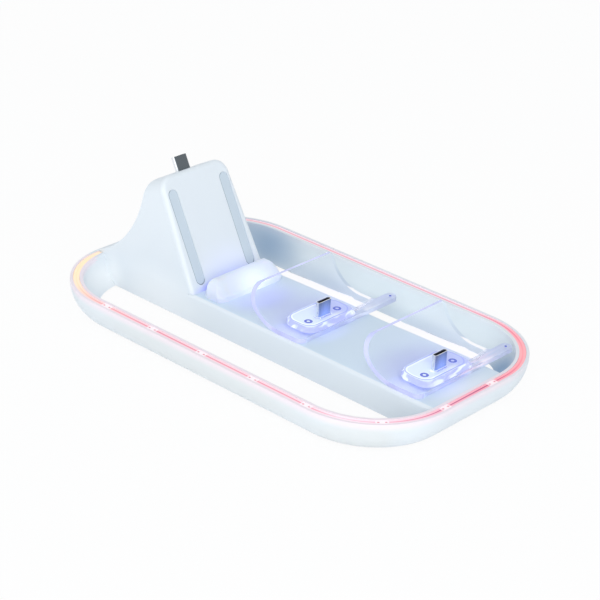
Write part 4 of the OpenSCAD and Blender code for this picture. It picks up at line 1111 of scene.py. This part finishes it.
# %% [markdown]
# ## Floor, light and background
# The picture has a white background and very soft light. A big pale floor keeps the object's soft
# shadow. To the camera, in reflections and through clear plastic it is mixed with plain white. The
# Light Path node tells which kind of ray asks.

# %% Floor
FLOOR_DROP, FLOOR_WHITE = 0.02, 0.93


def seen(owner):
    """1 for rays from the camera, in reflections and through clear plastic, and 0 for the others."""
    path = add(owner, "ShaderNodeLightPath")
    either = calc(owner, "MAXIMUM", path.outputs["Is Camera Ray"], path.outputs["Is Transmission Ray"])
    return calc(owner, "MAXIMUM", either, path.outputs["Is Glossy Ray"])


for other in bpy.context.selected_objects:
    other.select_set(False)
bpy.ops.mesh.primitive_plane_add(size=8, location=(0, 0, -FLOOR_DROP * MM))
floor = bpy.context.active_object
floor.name = "floor"
floor_finish, shader = new_material("pale_floor", (0.94, 0.945, 0.95), 0.9)
white_light = add(floor_finish, "ShaderNodeEmission", Color=(1, 1, 1, 1), Strength=1.0)
factor = times(floor_finish, seen(floor_finish), FLOOR_WHITE)
mix = add(
    floor_finish, "ShaderNodeMixShader", i0=factor, i1=shader.outputs[0], i2=white_light.outputs[0]
)
output = floor_finish.node_tree.nodes["Material Output"]
feed(floor_finish, output.inputs["Surface"], mix.outputs[0])
floor.data.materials.append(floor_finish)
tell(floor_finish)

# %% [markdown]
# The world is the even, cool light from all sides. The camera, reflections and clear plastic see it
# as plain white instead, which gives the white background.

# %% World
world = bpy.data.worlds.new("studio")
bpy.context.scene.world = world
world.use_nodes = True
world.node_tree.nodes.clear()
soft = add(world, "ShaderNodeBackground", Color=(0.92, 0.96, 1.0, 1), Strength=0.69)
plain = add(world, "ShaderNodeBackground", Color=(1, 1, 1, 1), Strength=1.0)
mix = add(world, "ShaderNodeMixShader", i0=seen(world), i1=soft.outputs[0], i2=plain.outputs[0])
add(world, "ShaderNodeOutputWorld", Surface=mix.outputs[0])
print("the world's light has strength", round(soft.inputs["Strength"].default_value, 2))

# %% [markdown]
# Three square lamps add a little direction to the even light of the world: the key lamp from the
# front right, a faint cool one above and one from the front left.

# %% Lamps
LAMP_AIM = Vector((0, 0, 10))


def soft_box(name, spot, size, power, colour):
    """A square area lamp at a spot in millimetres, aimed at the middle of the dock."""
    data = bpy.data.lights.new(name, "AREA")
    data.size, data.energy, data.color = size, power, colour
    lamp = bpy.data.objects.new(name, data)
    bpy.context.scene.collection.objects.link(lamp)
    lamp.location = Vector(spot) * MM
    lamp.rotation_euler = (LAMP_AIM * MM - lamp.location).to_track_quat("-Z", "Y").to_euler()
    print(name, "lamp is", round(lamp.location.length, 2), "m away")


soft_box("key", (740, -790, 470), size=1.0, power=6.8, colour=(1.0, 0.985, 0.97))
soft_box("top", (-150, -100, 1100), size=1.2, power=0.5, colour=(0.94, 0.97, 1.0))
soft_box("left", (-700, -1000, 330), size=0.8, power=1.2, colour=(0.95, 0.98, 1.0))
bpy.context.scene.view_settings.view_transform = "Standard"
